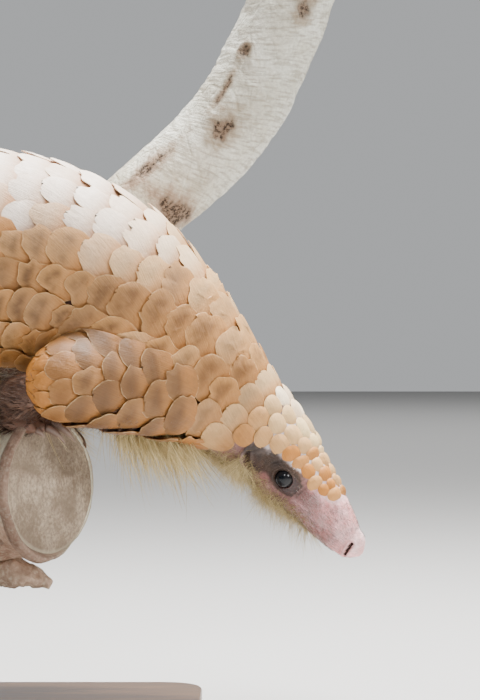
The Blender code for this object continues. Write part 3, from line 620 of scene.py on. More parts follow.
def skin_material():
    """Bare skin: pink on the snout, dark round the eye and ear, painted shade under the snout, pale between the
    scales, brown elsewhere.
    """
    made = Finish("skin", Specular_IOR_Level=0.45, Subsurface_Weight=0.12, Subsurface_Scale=0.004,
                  Subsurface_Radius=(1.0, 0.45, 0.3))
    pink, dark, pale, wet = made.values("pink dark pale wet")
    cloud = made.noise(160.0, detail=5.0)
    fine = made.noise(900.0, detail=4.0)
    veins = made.edges(420.0).band(0.0, 0.09, 1.0, 0.0)
    rosy = cloud.band(0.32, 0.68).between((0.88, 0.36, 0.35), (0.98, 0.56, 0.57))
    dusk = cloud.band(0.35, 0.65).between((0.015, 0.008, 0.006), (0.056, 0.032, 0.020))
    colour = cloud.band(0.3, 0.7).between((0.075, 0.036, 0.020), (0.16, 0.085, 0.050)).under(
        (pink, rosy),
        (pale, cloud.band(0.3, 0.7).between((0.78, 0.62, 0.60), (0.88, 0.80, 0.80))),
        (fine.band(0.35, 0.65, 0.0, 0.25), (0.20, 0.09, 0.07)),
        (veins * 0.14, (0.25, 0.10, 0.08)),
        (dark, dusk),
        (wet * dark.band(0.5, 1.0, 0.0, 0.8), (0.030, 0.004, 0.003)))
    relief = made.relief((made.edges(520.0), 0.0002, 0.55), (fine, 0.00022, 0.7))
    return made.done(Base_Color=colour, Roughness=fine.band(0.3, 0.7, 0.50, 0.68) - wet * 0.38, Normal=relief)


def hair_material(name, dark, light):
    made = Finish(name, Specular_IOR_Level=0.4, Roughness=0.42)
    tone, along = made.values("tone along")
    root = tuple(0.45 * c for c in dark)
    return made.done(Base_Color=tone.between(dark, light).under((along.band(0.0, 0.6, 0.45, 0.0), root)))


def eye_material():
    made = Finish("eye", Specular_IOR_Level=0.22, Roughness=0.15, Coat_Weight=0.05, Coat_Roughness=0.05)
    ring, = made.values("ring")
    streaks = made.noise(1500.0, detail=2.0)
    colour = ring.band(0.30, 0.42).between((0.004, 0.006, 0.009), (0.012, 0.012, 0.014)).under(
        (ring.band(0.72, 0.9) * 0.8, (0.012, 0.010, 0.010)),
        (streaks.band(0.4, 0.7, 0.0, 0.25), (0.016, 0.015, 0.017)))
    return made.done(Base_Color=colour)


def claw_material():
    made = Finish("claw_horn", Specular_IOR_Level=0.5, Roughness=0.38)
    along, = made.values("along")
    grain = made.noise(1.0, made.place((900, 900, 160)))
    colour = along.band(0.1, 0.9).between((0.10, 0.055, 0.038), (0.24, 0.155, 0.11))
    colour = colour.under((grain.band(0.35, 0.7, 0.0, 0.4), (0.20, 0.13, 0.10)))
    return made.done(Base_Color=colour, Normal=made.relief((grain, 0.0002, 0.6)))


def bark_material():
    """Weathered bark: grey and greenish on the limb, paler and smoother on the branch, with dark knots, and
    painted shade in the limb's folds and cracks.
    """
    made = Finish("bark", Specular_IOR_Level=0.25)
    pale, knot, crease, rust, ahead, face, flank = made.values("pale knot crease rust ahead face flank")
    broad = made.noise(22.0, detail=5.0)
    patch = made.noise(48.0, made.place((1, 1, 0.7)), detail=5.0, warp=0.5)
    fine = made.noise(520.0, detail=6.0, rough=0.65)
    shreds = made.noise(1.0, made.combined(ahead, face, flank), detail=4.0)
    lenticels = made.noise(1.0, made.place((160, 160, 620)), detail=2.0).band(0.66, 0.76)
    cracks = made.edges(95.0, made.place((1, 1.2, 0.5)))
    russet = patch.band(0.35, 0.65).between((0.28, 0.15, 0.10), (0.55, 0.36, 0.26))
    rough_bark = broad.band(0.35, 0.65).between((0.56, 0.51, 0.38), (0.78, 0.76, 0.60)).under(
        (patch.band(0.48, 0.66, 0.0, 0.6), (0.42, 0.28, 0.19)),
        (rust * fine.band(0.3, 0.6, 0.6, 1.0), russet))
    smooth_bark = broad.band(0.35, 0.65).between((0.62, 0.61, 0.51), (0.82, 0.83, 0.74)).under(
        (patch.band(0.60, 0.70, 0.0, 0.55), (0.33, 0.28, 0.22)),
        (shreds.band(0.44, 0.64, 0.0, 0.6), (0.33, 0.29, 0.22)),
        (rust * 0.7, (0.30, 0.22, 0.14)))
    colour = pale.between(rough_bark, smooth_bark).under(
        (lenticels * 0.35, (0.22, 0.18, 0.14)),
        (knot, fine.band(0.4, 0.6).between((0.030, 0.020, 0.014), (0.27, 0.19, 0.13))),
        (fine.band(0.30, 0.70, 0.0, 0.32), (0.17, 0.13, 0.10)),
        # Painted shade in the limb's folds and cracks, and a darker brown over its rolled lip.
        (crease, (0.085, 0.055, 0.042)))
    relief = made.relief((cracks.band(0.0, 0.10), 0.0006, 0.5), (fine, 0.0009, 0.9), (shreds, 0.0008, 0.6),
                         (patch, 0.002, 0.5))
    return made.done(Base_Color=colour, Roughness=fine.band(0.3, 0.7, 0.78, 0.95), Normal=relief)


def sawn_material():
    """An old saw cut: grey-brown fibres, faint growth rings and dark fine checks."""
    made = Finish("sawn_wood", Specular_IOR_Level=0.2)
    ring, round_it = made.values("ring round_it")
    fibre = made.noise(620.0, made.place((1, 1, 0.8), (0, 0.6, 0)), detail=7.0, rough=0.7)
    cloud = made.noise(55.0, detail=6.0, warp=0.6)
    years = made.noise(1.0, made.combined(ring * 24.0, round_it * 1.2))
    checks = made.noise(1.0, made.combined(round_it * 60.0, ring * 2.5))
    colour = cloud.band(0.3, 0.7).between((0.22, 0.165, 0.115), (0.50, 0.40, 0.29)).under(
        (years.band(0.42, 0.66, 0.0, 0.4), (0.24, 0.175, 0.125)),
        (fibre.band(0.38, 0.62, 0.0, 0.6), (0.17, 0.125, 0.09)),
        (checks.band(0.70, 0.78, 0.0, 0.6), (0.12, 0.085, 0.06)),
        (ring.band(0.95, 1.0, 0.0, 0.5), (0.50, 0.44, 0.32)))
    relief = made.relief((fibre, 0.0012, 0.9), (checks, 0.0006, 0.4))
    return made.done(Base_Color=colour, Roughness=fibre.band(0.3, 0.7, 0.82, 0.95), Normal=relief)


def varnished_material():
    made = Finish("base_wood", Specular_IOR_Level=0.5, Coat_Weight=0.35, Coat_Roughness=0.22)
    grain = made.noise(1.0, made.place((9, 150, 150)), detail=6.0, warp=0.8)
    pores = made.noise(1.0, made.place((60, 1400, 1400)))
    colour = grain.band(0.35, 0.65).between((0.075, 0.038, 0.020), (0.17, 0.092, 0.048))
    colour = colour.under((pores.band(0.55, 0.7, 0.0, 0.6), (0.03, 0.016, 0.010)))
    return made.done(Base_Color=colour, Roughness=grain.band(0.3, 0.7, 0.34, 0.46),
                     Normal=made.relief((pores, 0.0002, 0.4)))


def steel_material():
    made = Finish("stand_steel", Metallic=1.0)
    brushed = made.noise(1.0, made.place((260, 260, 5200)))
    colour = brushed.band(0.3, 0.7).between((0.42, 0.42, 0.43), (0.60, 0.60, 0.61))
    return made.done(Base_Color=colour, Roughness=brushed.band(0.3, 0.7, 0.26, 0.40),
                     Normal=made.relief((brushed, 0.00004, 0.5)))


def floor_material():
    pale = (0.56, 0.555, 0.545, 1.0)
    return Finish("floor", Roughness=0.9, Specular_IOR_Level=0.2, Base_Color=pale).material


def from_mark(s, side, mark, girth):
    """Millimetres along and round the skin from a landmark."""
    return s - mark[0], np.radians(side - mark[1]) * girth


def near_line(s, side, path, girth):
    """Millimetres from places on the skin to a path. All places are millimetres along and degrees round."""
    best = np.full(np.shape(s), 1000.0)
    for start, end in zip(path, path[1:]):
        ax, ay = from_mark(*end, start, girth)
        px, py = from_mark(s, side, start, girth)
        share = np.clip((px * ax + py * ay) / (ax * ax + ay * ay), 0, 1)
        best = np.minimum(best, np.hypot(px - share * ax, py - share * ay))
    return best


def bare(s, side, inner, outer):
    """Goes from 0 to 1 between two turns, in radians beyond the edge of the scales."""
    edge = np.radians(along_table(REACH, s))
    return smooth(np.radians(side), edge + inner, edge + outer)


def face_relief(s, side, points):
    """Millimetres that the head's skin rises over its plain form: lids, folds, ears, mouth and wrinkles."""
    x, y = from_mark(s, side, EYE_PLACE, EYE_GIRTH)
    out = np.hypot(x, y * 1.05)
    ripple = 1 + 0.25 * np.cos(np.arctan2(y, x) * 3 + 0.7)
    folds = np.interp(out, *zip(*LIDS))
    relief = np.where(out > 6.4, folds * ripple, folds)
    relief += 0.8 * hill(x, 9) * hill(y + 10, 3.5) - 0.9 * hill(x + 9, 7) * hill(y + 1, 9)
    x, y = from_mark(s, side, EAR_PLACE, EAR_GIRTH)
    down, behind = -0.61 * x + 0.79 * y, 0.79 * x + 0.61 * y
    bowed = behind - 3.2 + 0.05 * down**2
    relief += 2.0 * hill(bowed, 1.7) * hill(down, 6.5, 4) - 0.8 * hill(bowed - 3.6, 1.3) * hill(down, 8, 4)
    relief += 0.7 * hill(behind + 2.2, 1.2) * hill(down, 5.5, 4)
    relief -= 3.4 * hill(behind, 1.1) * hill(down, 4.6, 4)
    relief -= 0.8 * hill(near_line(s, side, EAR_FOLD, PATCH_GIRTH), 0.9)
    lips = near_line(s, side, MOUTH, MOUTH_GIRTH)
    relief += 0.35 * hill(lips - 1.6, 0.9) - 1.1 * hill(lips, 0.55)
    nostril = near_line(s, side, NOSTRIL, NOSTRIL_GIRTH)
    relief += 0.5 * hill(nostril - 1.7, 0.7) - 1.7 * hill(nostril, 0.75)
    relief += 0.35 * smooth(s, 9.5, 6) - 0.3 * hill(s - 11, 1.6)
    wrinkles = np.maximum(0, np.sin(s * 1.9 + 2.2 * noise_at(points, 9, 3))) ** 3
    wrinkles = wrinkles * smooth(noise_at(points, 6, 5), -0.1, 0.7) * smooth(s, 9, 16)
    return (relief - 0.24 * wrinkles + 0.10 * noise_at(points, 1.6, 8)) * smooth(s, 118, 100)


def neck_relief(s, side, points):
    """Soft folds of the bare throat and belly, in millimetres."""
    wave = np.sin(s * 0.55 + 2.5 * noise_at(points, 22, 11))
    return -0.7 * np.maximum(0, wave) ** 2 * smooth(side, 110, 150) * smooth(s, 85, 120)


def skin_grid():
    """Points of the body's skin in rings, fine over the head and finest on its sides."""
    tip = NOSE_ROUND * (1 - np.cos(np.linspace(0.12, math.pi / 2, 15)))
    face = np.arange(NOSE_ROUND + 0.35 * MM, 112 * MM, FACE_PITCH)
    rest = np.arange(114 * MM, BODY.length - TAIL_ROUND, TRUNK_PITCH)
    end = BODY.length - TAIL_ROUND * (1 - np.sin(np.linspace(0.2, math.pi / 2 - 0.1, 6)))
    s = np.concatenate([tip, face, rest, end])
    s = s[s < BODY.length][:, None]
    even = around(SKIN_SIDES)
    turn = (even + 0.2 * np.sin(2 * even))[None]
    girth = 1.0
    for share in (s / NOSE_ROUND, (BODY.length - s) / TAIL_ROUND):
        girth = girth * np.sqrt(np.clip(1 - (1 - np.clip(share, 0, 1)) ** 2, 0, 1))
    plain, _ = BODY.surface(s, turn, 0, girth)
    s, turn = np.broadcast_arrays(s, turn)
    place, side = s / MM, np.degrees(np.abs(turn))
    relief = (face_relief(place, side, plain) + neck_relief(place, side, plain)) * MM
    return BODY.surface(s, turn, relief - SKIN_DEPTH * smooth(place, 90, 120), girth)[0]


def leg_skin(leg):
    """One leg's skin, melted together from its tubes."""
    parts = [tube(leg.upper, 60, 64, -SKIN_DEPTH, 6 * MM), tube(leg.lower, 40, 48, -SKIN_DEPTH, 5 * MM),
             tube(leg.pad(), 40, 48, -SKIN_DEPTH, 5 * MM)]
    parts += [tube(line, 16, 20, -0.2 * MM, 2 * MM) for line in leg.digit_rails()]
    faces, start = [], 0
    for points, blocks in parts:
        faces += [block + start for block in blocks]
        start += len(points)
    whole = mesh_object(leg.name + "_skin", np.concatenate([points for points, _ in parts]), faces)
    modify(whole, "REMESH", mode="VOXEL", voxel_size=LEG_VOXEL)
    modify(whole, "SMOOTH", factor=0.5, iterations=5)
    applied(whole)
    return whole


def body_skin(material):
    """One closed skin over the body and the legs."""
    skin = mesh_object("skin", *capped(skin_grid()))
    group = bpy.data.collections.new("legs")
    bpy.context.scene.collection.children.link(group)
    for leg in LEGS:
        obj = leg_skin(leg)
        bpy.context.scene.collection.objects.unlink(obj)
        group.objects.link(obj)
    modify(skin, "BOOLEAN", operation="UNION", operand_type="COLLECTION", collection=group, solver="MANIFOLD")
    applied(skin)
    for obj in list(group.objects):
        mesh = obj.data
        bpy.data.objects.remove(obj)
        bpy.data.meshes.remove(mesh)
    bpy.data.collections.remove(group)
    skin.data.materials.clear()
    skin.data.materials.append(material)
    skin.data.shade_smooth()
    return skin


def slit_distance(points):
    """Millimetres from points to the nearer nostril's slit."""
    places, turns = (np.interp(np.linspace(0, 3, 13), range(4), column) for column in zip(*NOSTRIL))
    front = np.clip(places * MM / NOSE_ROUND, 0, 1)
    slit, _ = BODY.surface(places * MM, np.radians(turns), -0.8 * MM, np.sqrt(1 - (1 - front) ** 2))
    both = np.concatenate([slit, slit * [1, -1, 1]])
    return np.min([np.linalg.norm(points - spot, axis=1) for spot in both], axis=0) / MM


def paint_skin(skin):
    """Where the skin is pink, dark, pale and wet, with painted shade on the lower half of the snout."""
    points = mesh_points(skin)
    s, turn, height = BODY.locate(points)
    s, side, height = s / MM, np.degrees(np.abs(turn)), height / MM
    on_body = smooth(height, 5, 3)
    head = smooth(s, 112, 96) * on_body
    jaw = 0.6 * smooth(side, 118, 138) * smooth(s, 38, 60)
    cheek = smooth(s, 78, 88) * smooth(side, 108, 125)
    pink = np.clip(np.maximum(smooth(s, 60, 44) * head, 0.5 * jaw * head) + 0.4 * cheek * head, 0, 1)
    pink = np.maximum(pink, 0.42 * smooth(side, 104, 116) * head)
    edge = 2.2 * noise_at(points, 4, 21)
    eye = near_line(s, side, EYE_DOT, EYE_GIRTH)
    patch = near_line(s, side, EYE_PATCH, PATCH_GIRTH) + 1.4 * edge
    mauve = near_line(s, side, MAUVE_BAND, BAND_GIRTH) + 1.2 * edge
    lips = near_line(s, side, MOUTH, MOUTH_GIRTH)
    nostril = slit_distance(points)
    under = smooth(side + np.degrees(edge / 12), 92, 122)
    dark = np.maximum(0.95 * smooth(patch, 12, 5), smooth(eye + 0.4 * edge, 9.4, 6.6))
    dark = dark * (1 - 0.16 * hill(eye - 5.9, 0.4))
    dark = head * np.maximum.reduce([
        dark,
        (0.3 + 0.4 * smooth(s, 26, 50)) * smooth(mauve, 9, 2),
        0.45 * smooth(s + edge, 82, 92),
        # Painted shade: darker on the lower half of the snout.
        0.5 * under * smooth(s, 12, 22) * smooth(s, 66, 56),
        smooth(nostril, 1.2, 0.9)])
    dark = np.maximum(dark, 0.6 * smooth(lips, 0.9, 0.3) * head)
    pale = bare(s, side, 0.02, -0.07) * smooth(s, 28, 40) * smooth(s, 97, 83)
    pale = pale * on_body * (0.45 + 0.55 * smooth(s, 36, 56))
    pale = np.maximum(pale, 0.4 * smooth(s, 26, 8) * head * smooth(side, 125, 95))
    wet = np.maximum(smooth(nostril, 2.6, 0.6), smooth(eye, 6.2, 5.2)) * head
    set_values(skin, pink=pink, dark=dark, pale=pale, wet=wet)


def settled(points, normals, line, others):
    """Takes points of one rail's surface out on to its smooth union with others."""
    shape = points.shape
    points, normals = points.reshape(-1, 3).copy(), normals.reshape(-1, 3).copy()
    for other in others:
        near = np.nonzero(other.locate(points, 160)[2] < 3 * SOFT)[0]
        if not len(near):
            continue
        spots, outward = points[near], normals[near]
        start = line.locate(spots)[2]
        for _ in range(4):
            own = line.locate(spots)[2] - start
            s_other, turn_other, gap = other.locate(spots)
            least = np.minimum(own, gap)
            mine, theirs = np.exp((least - own) / SOFT), np.exp((least - gap) / SOFT)
            height = least - SOFT * np.log(mine + theirs)
            share = (theirs / (mine + theirs))[:, None]
            facing = other.surface(s_other, turn_other)[1]
            outward = unit((1 - share) * normals[near] + share * facing)
            spots = spots - outward * height[:, None]
        points[near], normals[near] = spots, outward
    return points.reshape(shape), normals.reshape(shape)


def worn_outline(turn, draw, count, wear):
    """Outlines of scales with wear, as shares of their half size: round shields with notches, hollows and cusps.
    """
    def phase():
        return draw.uniform(0, 2 * math.pi, (count, 1))

    square = draw.uniform(2.0, 2.6, (count, 1))
    shape = (np.abs(np.cos(turn)) ** square + np.abs(np.sin(turn)) ** square) ** (-1 / square)
    warp = turn + 0.6 * np.sin(2 * turn + phase())
    wave = np.abs(np.sin(draw.integers(2, 6, (count, 1)) * warp / 2 + phase()))
    notched = draw.uniform(0, 1, (count, 1)) < 0.45
    bites = np.where(notched, 1 - wave ** 0.62, wave ** 0.8)
    depth = wear * draw.uniform(0.15, 1.0, (count, 1))
    uneven = 1 + np.sin(turn * 2 + phase())
    ragged = np.sin(turn * 7 + phase()) + 0.7 * np.sin(turn * 11 + phase())
    free = smooth(np.sin(turn), -0.35, 0.25)
    return shape * (1 - free * (depth * bites + wear * (0.14 * uneven + 0.05 * ragged)))


def plates(name, line, sites, material, island, others, wear, sides, seed):
    """Scales as thin plates with wear on a rail, from the sites' rows of numbers."""
    draw = np.random.default_rng(seed)
    count = len(sites)
    angles = around(sides, 0)[None]
    outline = worn_outline(angles, draw, count, wear)
    s0, turn0, wide, long, rise, dome, swing, gilt, bleach, shown = sites.T[:, :, None]
    near, far = (line.surface(s0[:, 0], turn0[:, 0] + step)[0] for step in (-0.04, 0.04))
    per_turn = np.maximum(np.linalg.norm(far - near, axis=1) / 0.08, 2.5 * MM)[:, None]
    spin = draw.normal(0, 0.08, (count, 1)) + 0.42 * swing
    wide = wide * draw.uniform(0.93, 1.07, (count, 1))
    long = long * draw.uniform(0.93, 1.08, (count, 1))
    rise = rise * draw.uniform(0.8, 1.25, (count, 1))
    lean = draw.normal(0, 0.12, (count, 1)) - 0.45 * swing
    layers = []
    for radius, drop in PLATE_RINGS:
        corners = sides if radius else 1
        x, y = (radius * (outline * wave(angles))[:, :corners] for wave in (np.cos, np.sin))
        share = (y + spin * x + 1) / 2
        lift = -PLATE_SINK + (PLATE_SINK + rise) * (1 - (1 - np.clip(share, 0, 1.1)) ** 1.35)
        lift = lift + dome * (1 - radius**2) + lean * rise * x - drop * rise
        layers.append((s0 + long * share, turn0 + (x - spin * y) * wide / 2 / per_turn, lift,
                       x, share, np.full(x.shape, radius, float)))
    place, turn, lift, across, along, rim = (np.concatenate(rows, axis=1) for rows in zip(*layers))
    points, normals = settled(*line.surface(place, turn), line, others)
    points = points + normals * lift[..., None]
    size = points.shape[1]
    rings = len(PLATE_RINGS) - 2
    fans = [fan(sides, 1, 0)[:, [2, 0, 1]], fan(sides, size - 1 - sides, size - 1, True)]
    strips = 1 + ring_faces(rings, sides)[:, [0, 3, 2, 1]]
    faces = [repeated(np.concatenate(fans), count, size), repeated(strips, count, size)]
    obj = mesh_object(name, points.reshape(-1, 3), faces, material)
    obj.data.set_sharp_from_angle(angle=SHARP_CREASE)
    fresh = draw.uniform(0, 1, (count, 1))
    spread = np.where(bleach > 0.03, 0.17, 0.12) * draw.normal(0, 1, (count, 1))
    bleach = np.clip(bleach + spread + 0.3 * (fresh > 0.96), -1, 1)
    tone = draw.uniform(0, 1, (count, 1))
    tone, gilt, bleach = (np.repeat(value, size, axis=1) for value in (tone, gilt, bleach))
    seen = shown + (1 - shown) * along
    set_values(obj, across=across, along=seen, rim=rim, tone=tone, gilt=gilt, bleach=bleach)
    patch = 0.004 * np.stack([along - 0.5, across / 2], axis=-1)
    set_bake_map(obj, island(s0, turn0) + patch)
    return declared(obj, "scale_horn")


def body_island(s, turn):
    """Place of the body's skin on its unwrap: along the body, and round it."""
    return np.stack([0.02 + 0.96 * s / BODY.length, 0.02 + 0.68 * (turn / (2 * math.pi) + 0.5)], axis=-1)


def leg_island(number):
    def island(s, turn):
        along = (number + 0.05 + 0.9 * s / LEGS[number].upper.length) / 4
        return np.stack([along, 0.75 + 0.22 * (turn / (2 * math.pi) + 0.5)], axis=-1)

    return island


def site_rows(*columns):
    """Rows of s, turn, width, length, rise, dome, swing, gilt, bleaching with painted highlight (above 0) and
    painted shade (below 0), and shown, taken from mm to metres.
    """
    return np.stack(np.broadcast_arrays(*columns), axis=1) * [MM, 1, MM, MM, MM, MM, 1, 1, 1, 1]


def turns_at(line, s, offsets):
    """Turns at distances round from the back, in millimetres."""
    angles, lengths = line.half_girth(s)
    return np.copysign(np.interp(np.abs(offsets), lengths, angles), offsets)


def body_sites():
    """Sites of the body's scales: rows along it, staggered like tiles."""
    sites, s, row = [], 31.0, 0
    while s < BODY.length / MM - 9:
        wide, pitch, rise, reach = (along_table(t, s) for t in (SCALE_WIDE, SCALE_PITCH, SCALE_RISE, REACH))
        angles, lengths = BODY.half_girth(s)
        edge = np.interp(math.radians(reach), angles, lengths)
        if reach > 179:
            count = 2 * max(2, round(lengths[-1] / wide))
            wide = 2 * lengths[-1] / count
            offsets = (np.arange(count) - count / 2 + 0.5 * (row % 2)) * wide
        else:
            inner = edge - 0.30 * wide
            count = round(2 * inner / wide)
            count = max(count + 1 - (count + row) % 2, 2)
            offsets = np.linspace(-inner, inner, count)
            wide = 2 * inner / (count - 1)
        turn, out = turns_at(BODY, s, offsets), np.abs(offsets) / edge
        bead, front = smooth(s, 100, 80), smooth(s, 78, 42)
        neck, lower = smooth(s, 215, 125) * (1 - bead), smooth(out, 0.15, 0.75)
        gilt = np.maximum((0.10 + 0.50 * smooth(s, 300, 140)) * smooth(out, 0.70, 1.0), 0.2 * neck)
        gilt = np.maximum(gilt, bead * np.minimum(1.0, 0.16 + 0.66 * lower + 0.35 * front))
        # The upper scales of body and head are paler: bleached horn with a painted highlight. Painted shade
        # darkens the lower flanks and the underside of the neck.
        top = smooth(np.cos(turn), 0.08, 0.74)
        bleach = top * (0.98 - 0.70 * neck) - 0.7 * neck * (1 - top) - 0.6 * smooth(out, 0.45, 1.0)
        bleach = np.maximum((1 - bead) * bleach, bead * (1 - 0.85 * lower) * (1.0 - 0.8 * front))
        swing = np.copysign(smooth(np.abs(turn), 0.1, 0.8), turn) * (1 - 0.7 * bead)
        sites.append(site_rows(s, turn, wide * (1.14 - 0.03 * bead), pitch * (1.75 - 0.36 * bead),
                               rise * (1 - 0.35 * bead), 0.55 + bead, swing, gilt, bleach, 0.5 * bead))
        s += pitch
        row += 1
    return np.concatenate(sites)


def leg_sites(leg):
    """Sites of the scales on a leg's outer face, which turn golden towards the elbow or knee."""
    sites, s, row = [], 10.0, 0
    total = leg.upper.length / MM
    swing = 0.9 if leg.name.endswith("right") else -0.9
    while s < total - 5:
        elbow = smooth(s, 0.62 * total, 0.92 * total)
        wide, pitch = 17 - 6 * elbow, 12.5 - 4 * elbow
        half = int(0.78 * leg.upper.half_girth(s)[1][-1] / wide + 0.5 * (row % 2))
        offsets = (np.arange(-half, half) + 0.5 if row % 2 else np.arange(-half, half + 1)) * wide
        turn = turns_at(leg.upper, s, offsets)
        # Painted shade on the legs' scales, darkest on their upper faces and lightest at the elbow or knee.
        arm_shade = 0.75 * elbow - 0.85 - 0.35 * smooth(-turn * math.copysign(1, swing), 0.1, 0.9)
        sites.append(site_rows(s, turn, wide * (1.13 - 0.1 * elbow), pitch * (1.8 - 0.4 * elbow), 2.6 - elbow,
                               0.6, swing, 0.08 + 0.85 * elbow, arm_shade, 0.35 * elbow))
        s += pitch
        row += 1
    return np.concatenate(sites)


def clear_of(line, sites, others):
    """Leaves out the sites whose scales lie deep inside other rails."""
    middle, _ = line.surface(sites[:, 0] + 0.6 * sites[:, 3], sites[:, 1], 1.0 * MM)
    inside = np.any([other.locate(middle, 200)[2] < -BURIED for other in others], axis=0)
    return sites[~inside]


# The body's coat in pieces that each stay small enough to export: from and to in mm, corners, wear.
COAT_SPANS = (("scales_head", 0, 98, 22, 0.05), ("scales_shoulder", 98, 235, 38, 0.30),
              ("scales_back", 235, 340, 34, 0.30), ("scales_rump", 340, 545, 28, 0.26),
              ("scales_tail", 545, 900, 24, 0.22))


def scale_coat(material):
    uppers = [leg.upper for leg in LEGS]
    sites = clear_of(BODY, body_sites(), uppers)
    made = []
    for n, (name, start, end, sides, wear) in enumerate(COAT_SPANS):
        chosen = sites[(start * MM <= sites[:, 0]) & (sites[:, 0] < end * MM)]
        made.append(plates(name, BODY, chosen, material, body_island, uppers, wear, sides, 40 + n))
    for n, leg in enumerate(LEGS):
        name, line, island = "scales_" + leg.name, leg.upper, leg_island(n)
        chosen = clear_of(line, leg_sites(leg), [BODY])
        made.append(plates(name, line, chosen, material, island, [BODY], 0.24, 34, 60 + n))
    return made


def locks(name, roots, aims, lengths, widths, pull, material, places, tones, segments):
    """Thin tapered locks, three-sided and closed. Each bends from its aim towards its pull."""
    count = len(roots)
    t = np.linspace(0, 1, segments + 1)[None, :, None]
    aims, pull = aims[:, None], pull[:, None]
    path = roots[:, None] + lengths[:, None, None] * (aims * t + pull * t**2)
    heading = unit(aims + 2 * pull * t)
    side = unit(np.cross(heading, np.array([0.31, 0.77, 0.55])))
    other = np.cross(heading, side)
    radius = widths[:, None, None] / 2 * (1 - 0.85 * t**1.6)
    rings = [path + (side * math.cos(a) + other * math.sin(a)) * radius for a in around(3, 0)]
    body = np.stack(rings, axis=2)[:, :-1].reshape(count, -1, 3)
    points = np.concatenate([body, path[:, -1:]], axis=1)
    size = points.shape[1]
    ends = np.concatenate([[[0, 2, 1]], fan(3, 3 * (segments - 1), size - 1)])
    faces = [repeated(ends, count, size), repeated(ring_faces(segments, 3), count, size)]
    obj = mesh_object(name, points.reshape(-1, 3), faces, material)
    along = np.append(np.repeat(t[0, :-1, 0], 3), 1.0)
    set_values(obj, along=np.tile(along, count), tone=np.repeat(tones, size))
    patch = 0.0015 * np.stack([along * 2 - 1, np.append(np.tile([-1, 0, 1], segments), 0)], axis=-1)
    set_bake_map(obj, places[:, None] + patch)
    return declared(obj, "skin")


class Ground:
    """The skin's triangles, with where each lies along and round the body, to scatter hair over."""

    def __init__(self, skin):
        mesh = skin.data
        mesh.calc_loop_triangles()
        corners = np.empty(len(mesh.loop_triangles) * 3, np.int32)
        mesh.loop_triangles.foreach_get("vertices", corners)
        self.a, self.b, self.c = np.moveaxis(mesh_points(skin)[corners.reshape(-1, 3)], 1, 0)
        self.cross = np.cross(self.b - self.a, self.c - self.a)
        self.area = np.linalg.norm(self.cross, axis=1)
        self.middle = (self.a + self.b + self.c) / 3
        self.s, self.turn, self.height = BODY.locate(self.middle)

    def scatter(self, weigh, count, draw):
        """Random places as dense as a weight asks: points, normals, s and turn."""
        side = np.degrees(np.abs(self.turn))
        weight = self.area * weigh(self.middle / MM, self.s / MM, side, self.height / MM)
        chosen = draw.choice(len(self.area), count, p=weight / weight.sum())
        u, v = draw.uniform(0, 1, (2, count, 1))
        over = u + v > 1
        u, v = np.where(over, 1 - u, u), np.where(over, 1 - v, v)
        places = self.a[chosen] + u * (self.b - self.a)[chosen] + v * (self.c - self.a)[chosen]
        return places, unit(self.cross[chosen]), self.s[chosen], self.turn[chosen]


def fur(name, ground, weigh, count, seed, length, width, stand, sag, material, segments, towards=(0, 0, 0),
        curl=(0, 0, 0)):
    """A coat of locks over part of the skin that lies towards the tail, stands a little and sags."""
    draw = np.random.default_rng(seed)
    roots, normals, s, turn = ground.scatter(weigh, count, draw)
    along = BODY.frames(s)[1]
    drift = np.stack([noise_at(roots, 5, seed + k) for k in (101, 102, 103)], axis=-1)
    flow = unit(along + np.array(towards)) + 0.45 * drift + 0.18 * draw.normal(0, 1, (count, 3))
    lie = unit(flow - dot(flow, normals) * normals)
    aims = unit(lie + normals * stand * draw.uniform(0.6, 1.4, (count, 1)))
    lengths = draw.uniform(*length, count) * MM
    pull = -UP * sag * draw.uniform(0.6, 1.2, (count, 1))
    pull = pull + np.array(curl) * draw.uniform(0.5, 1.5, (count, 1))
    pull = pull + 0.35 * drift + 0.08 * draw.normal(0, 1, (count, 3))
    widths = draw.uniform(0.75, 1.25, count) * width * MM
    roots, tones = roots - normals * 0.4 * MM, draw.uniform(0, 1, count)
    return locks(name, roots, aims, lengths, widths, pull, material, body_island(s, turn), tones, segments)


# Where each coat of hair grows. Points, s and height are in millimetres, and side is in degrees.
def throat_weight(points, s, side, height):
    return smooth(side, 140, 155) * smooth(s, 88, 100) * smooth(s, 205, 190)


def tuft_weight(points, s, side, height):
    """The long hair of the lower throat, thickest just before the arms."""
    return smooth(side, 125, 145) * hill(s - 176, 23) * smooth(height, 4, 2)


def belly_weight(points, s, side, height):
    return bare(s, side, -0.12, 0) * smooth(s, 150, 200) * smooth(s, 500, 480) * smooth(height, 9, 5)


def limb_weight(points, s, side, height):
    """The lower legs and the inner faces of the upper ones."""
    x, y, z = points.T
    past_elbow = (s < 300) * smooth(x, 118, 112)
    past_knee = (s > 300) * smooth(z, 194, 188)
    weight = np.maximum.reduce([smooth(np.abs(y), 66, 58), past_elbow, past_knee]) * smooth(z, 206, 196)
    for leg in LEGS:
        for _, end, _, _ in leg.digits():
            weight = weight * smooth(np.linalg.norm(points - end / MM, axis=1), 3, 6)
    return weight * smooth(height, 3, 6) * smooth(s, 120, 150) * (s < 500)


def cheek_weight(points, s, side, height):
    return smooth(side, 112, 135) * smooth(s, 28, 45) * smooth(s, 112, 98)


def face_weight(points, s, side, height):
    skin = np.where(s < 31, 1.0, bare(s, side, -0.05, 0.1))
    eye = near_line(s, side, EYE_DOT, EYE_GIRTH)
    return skin * smooth(s, 6, 14) * smooth(s, 108, 100) * smooth(eye, 5.6, 7)


def snout_weight(points, s, side, height):
    return face_weight(points, s, side, height) * smooth(s, 12, 24) * smooth(s, 54, 40)


def crown_weight(points, s, side, height):
    return smooth(side, 100, 80) * smooth(s, 24, 34) * smooth(s, 125, 105)


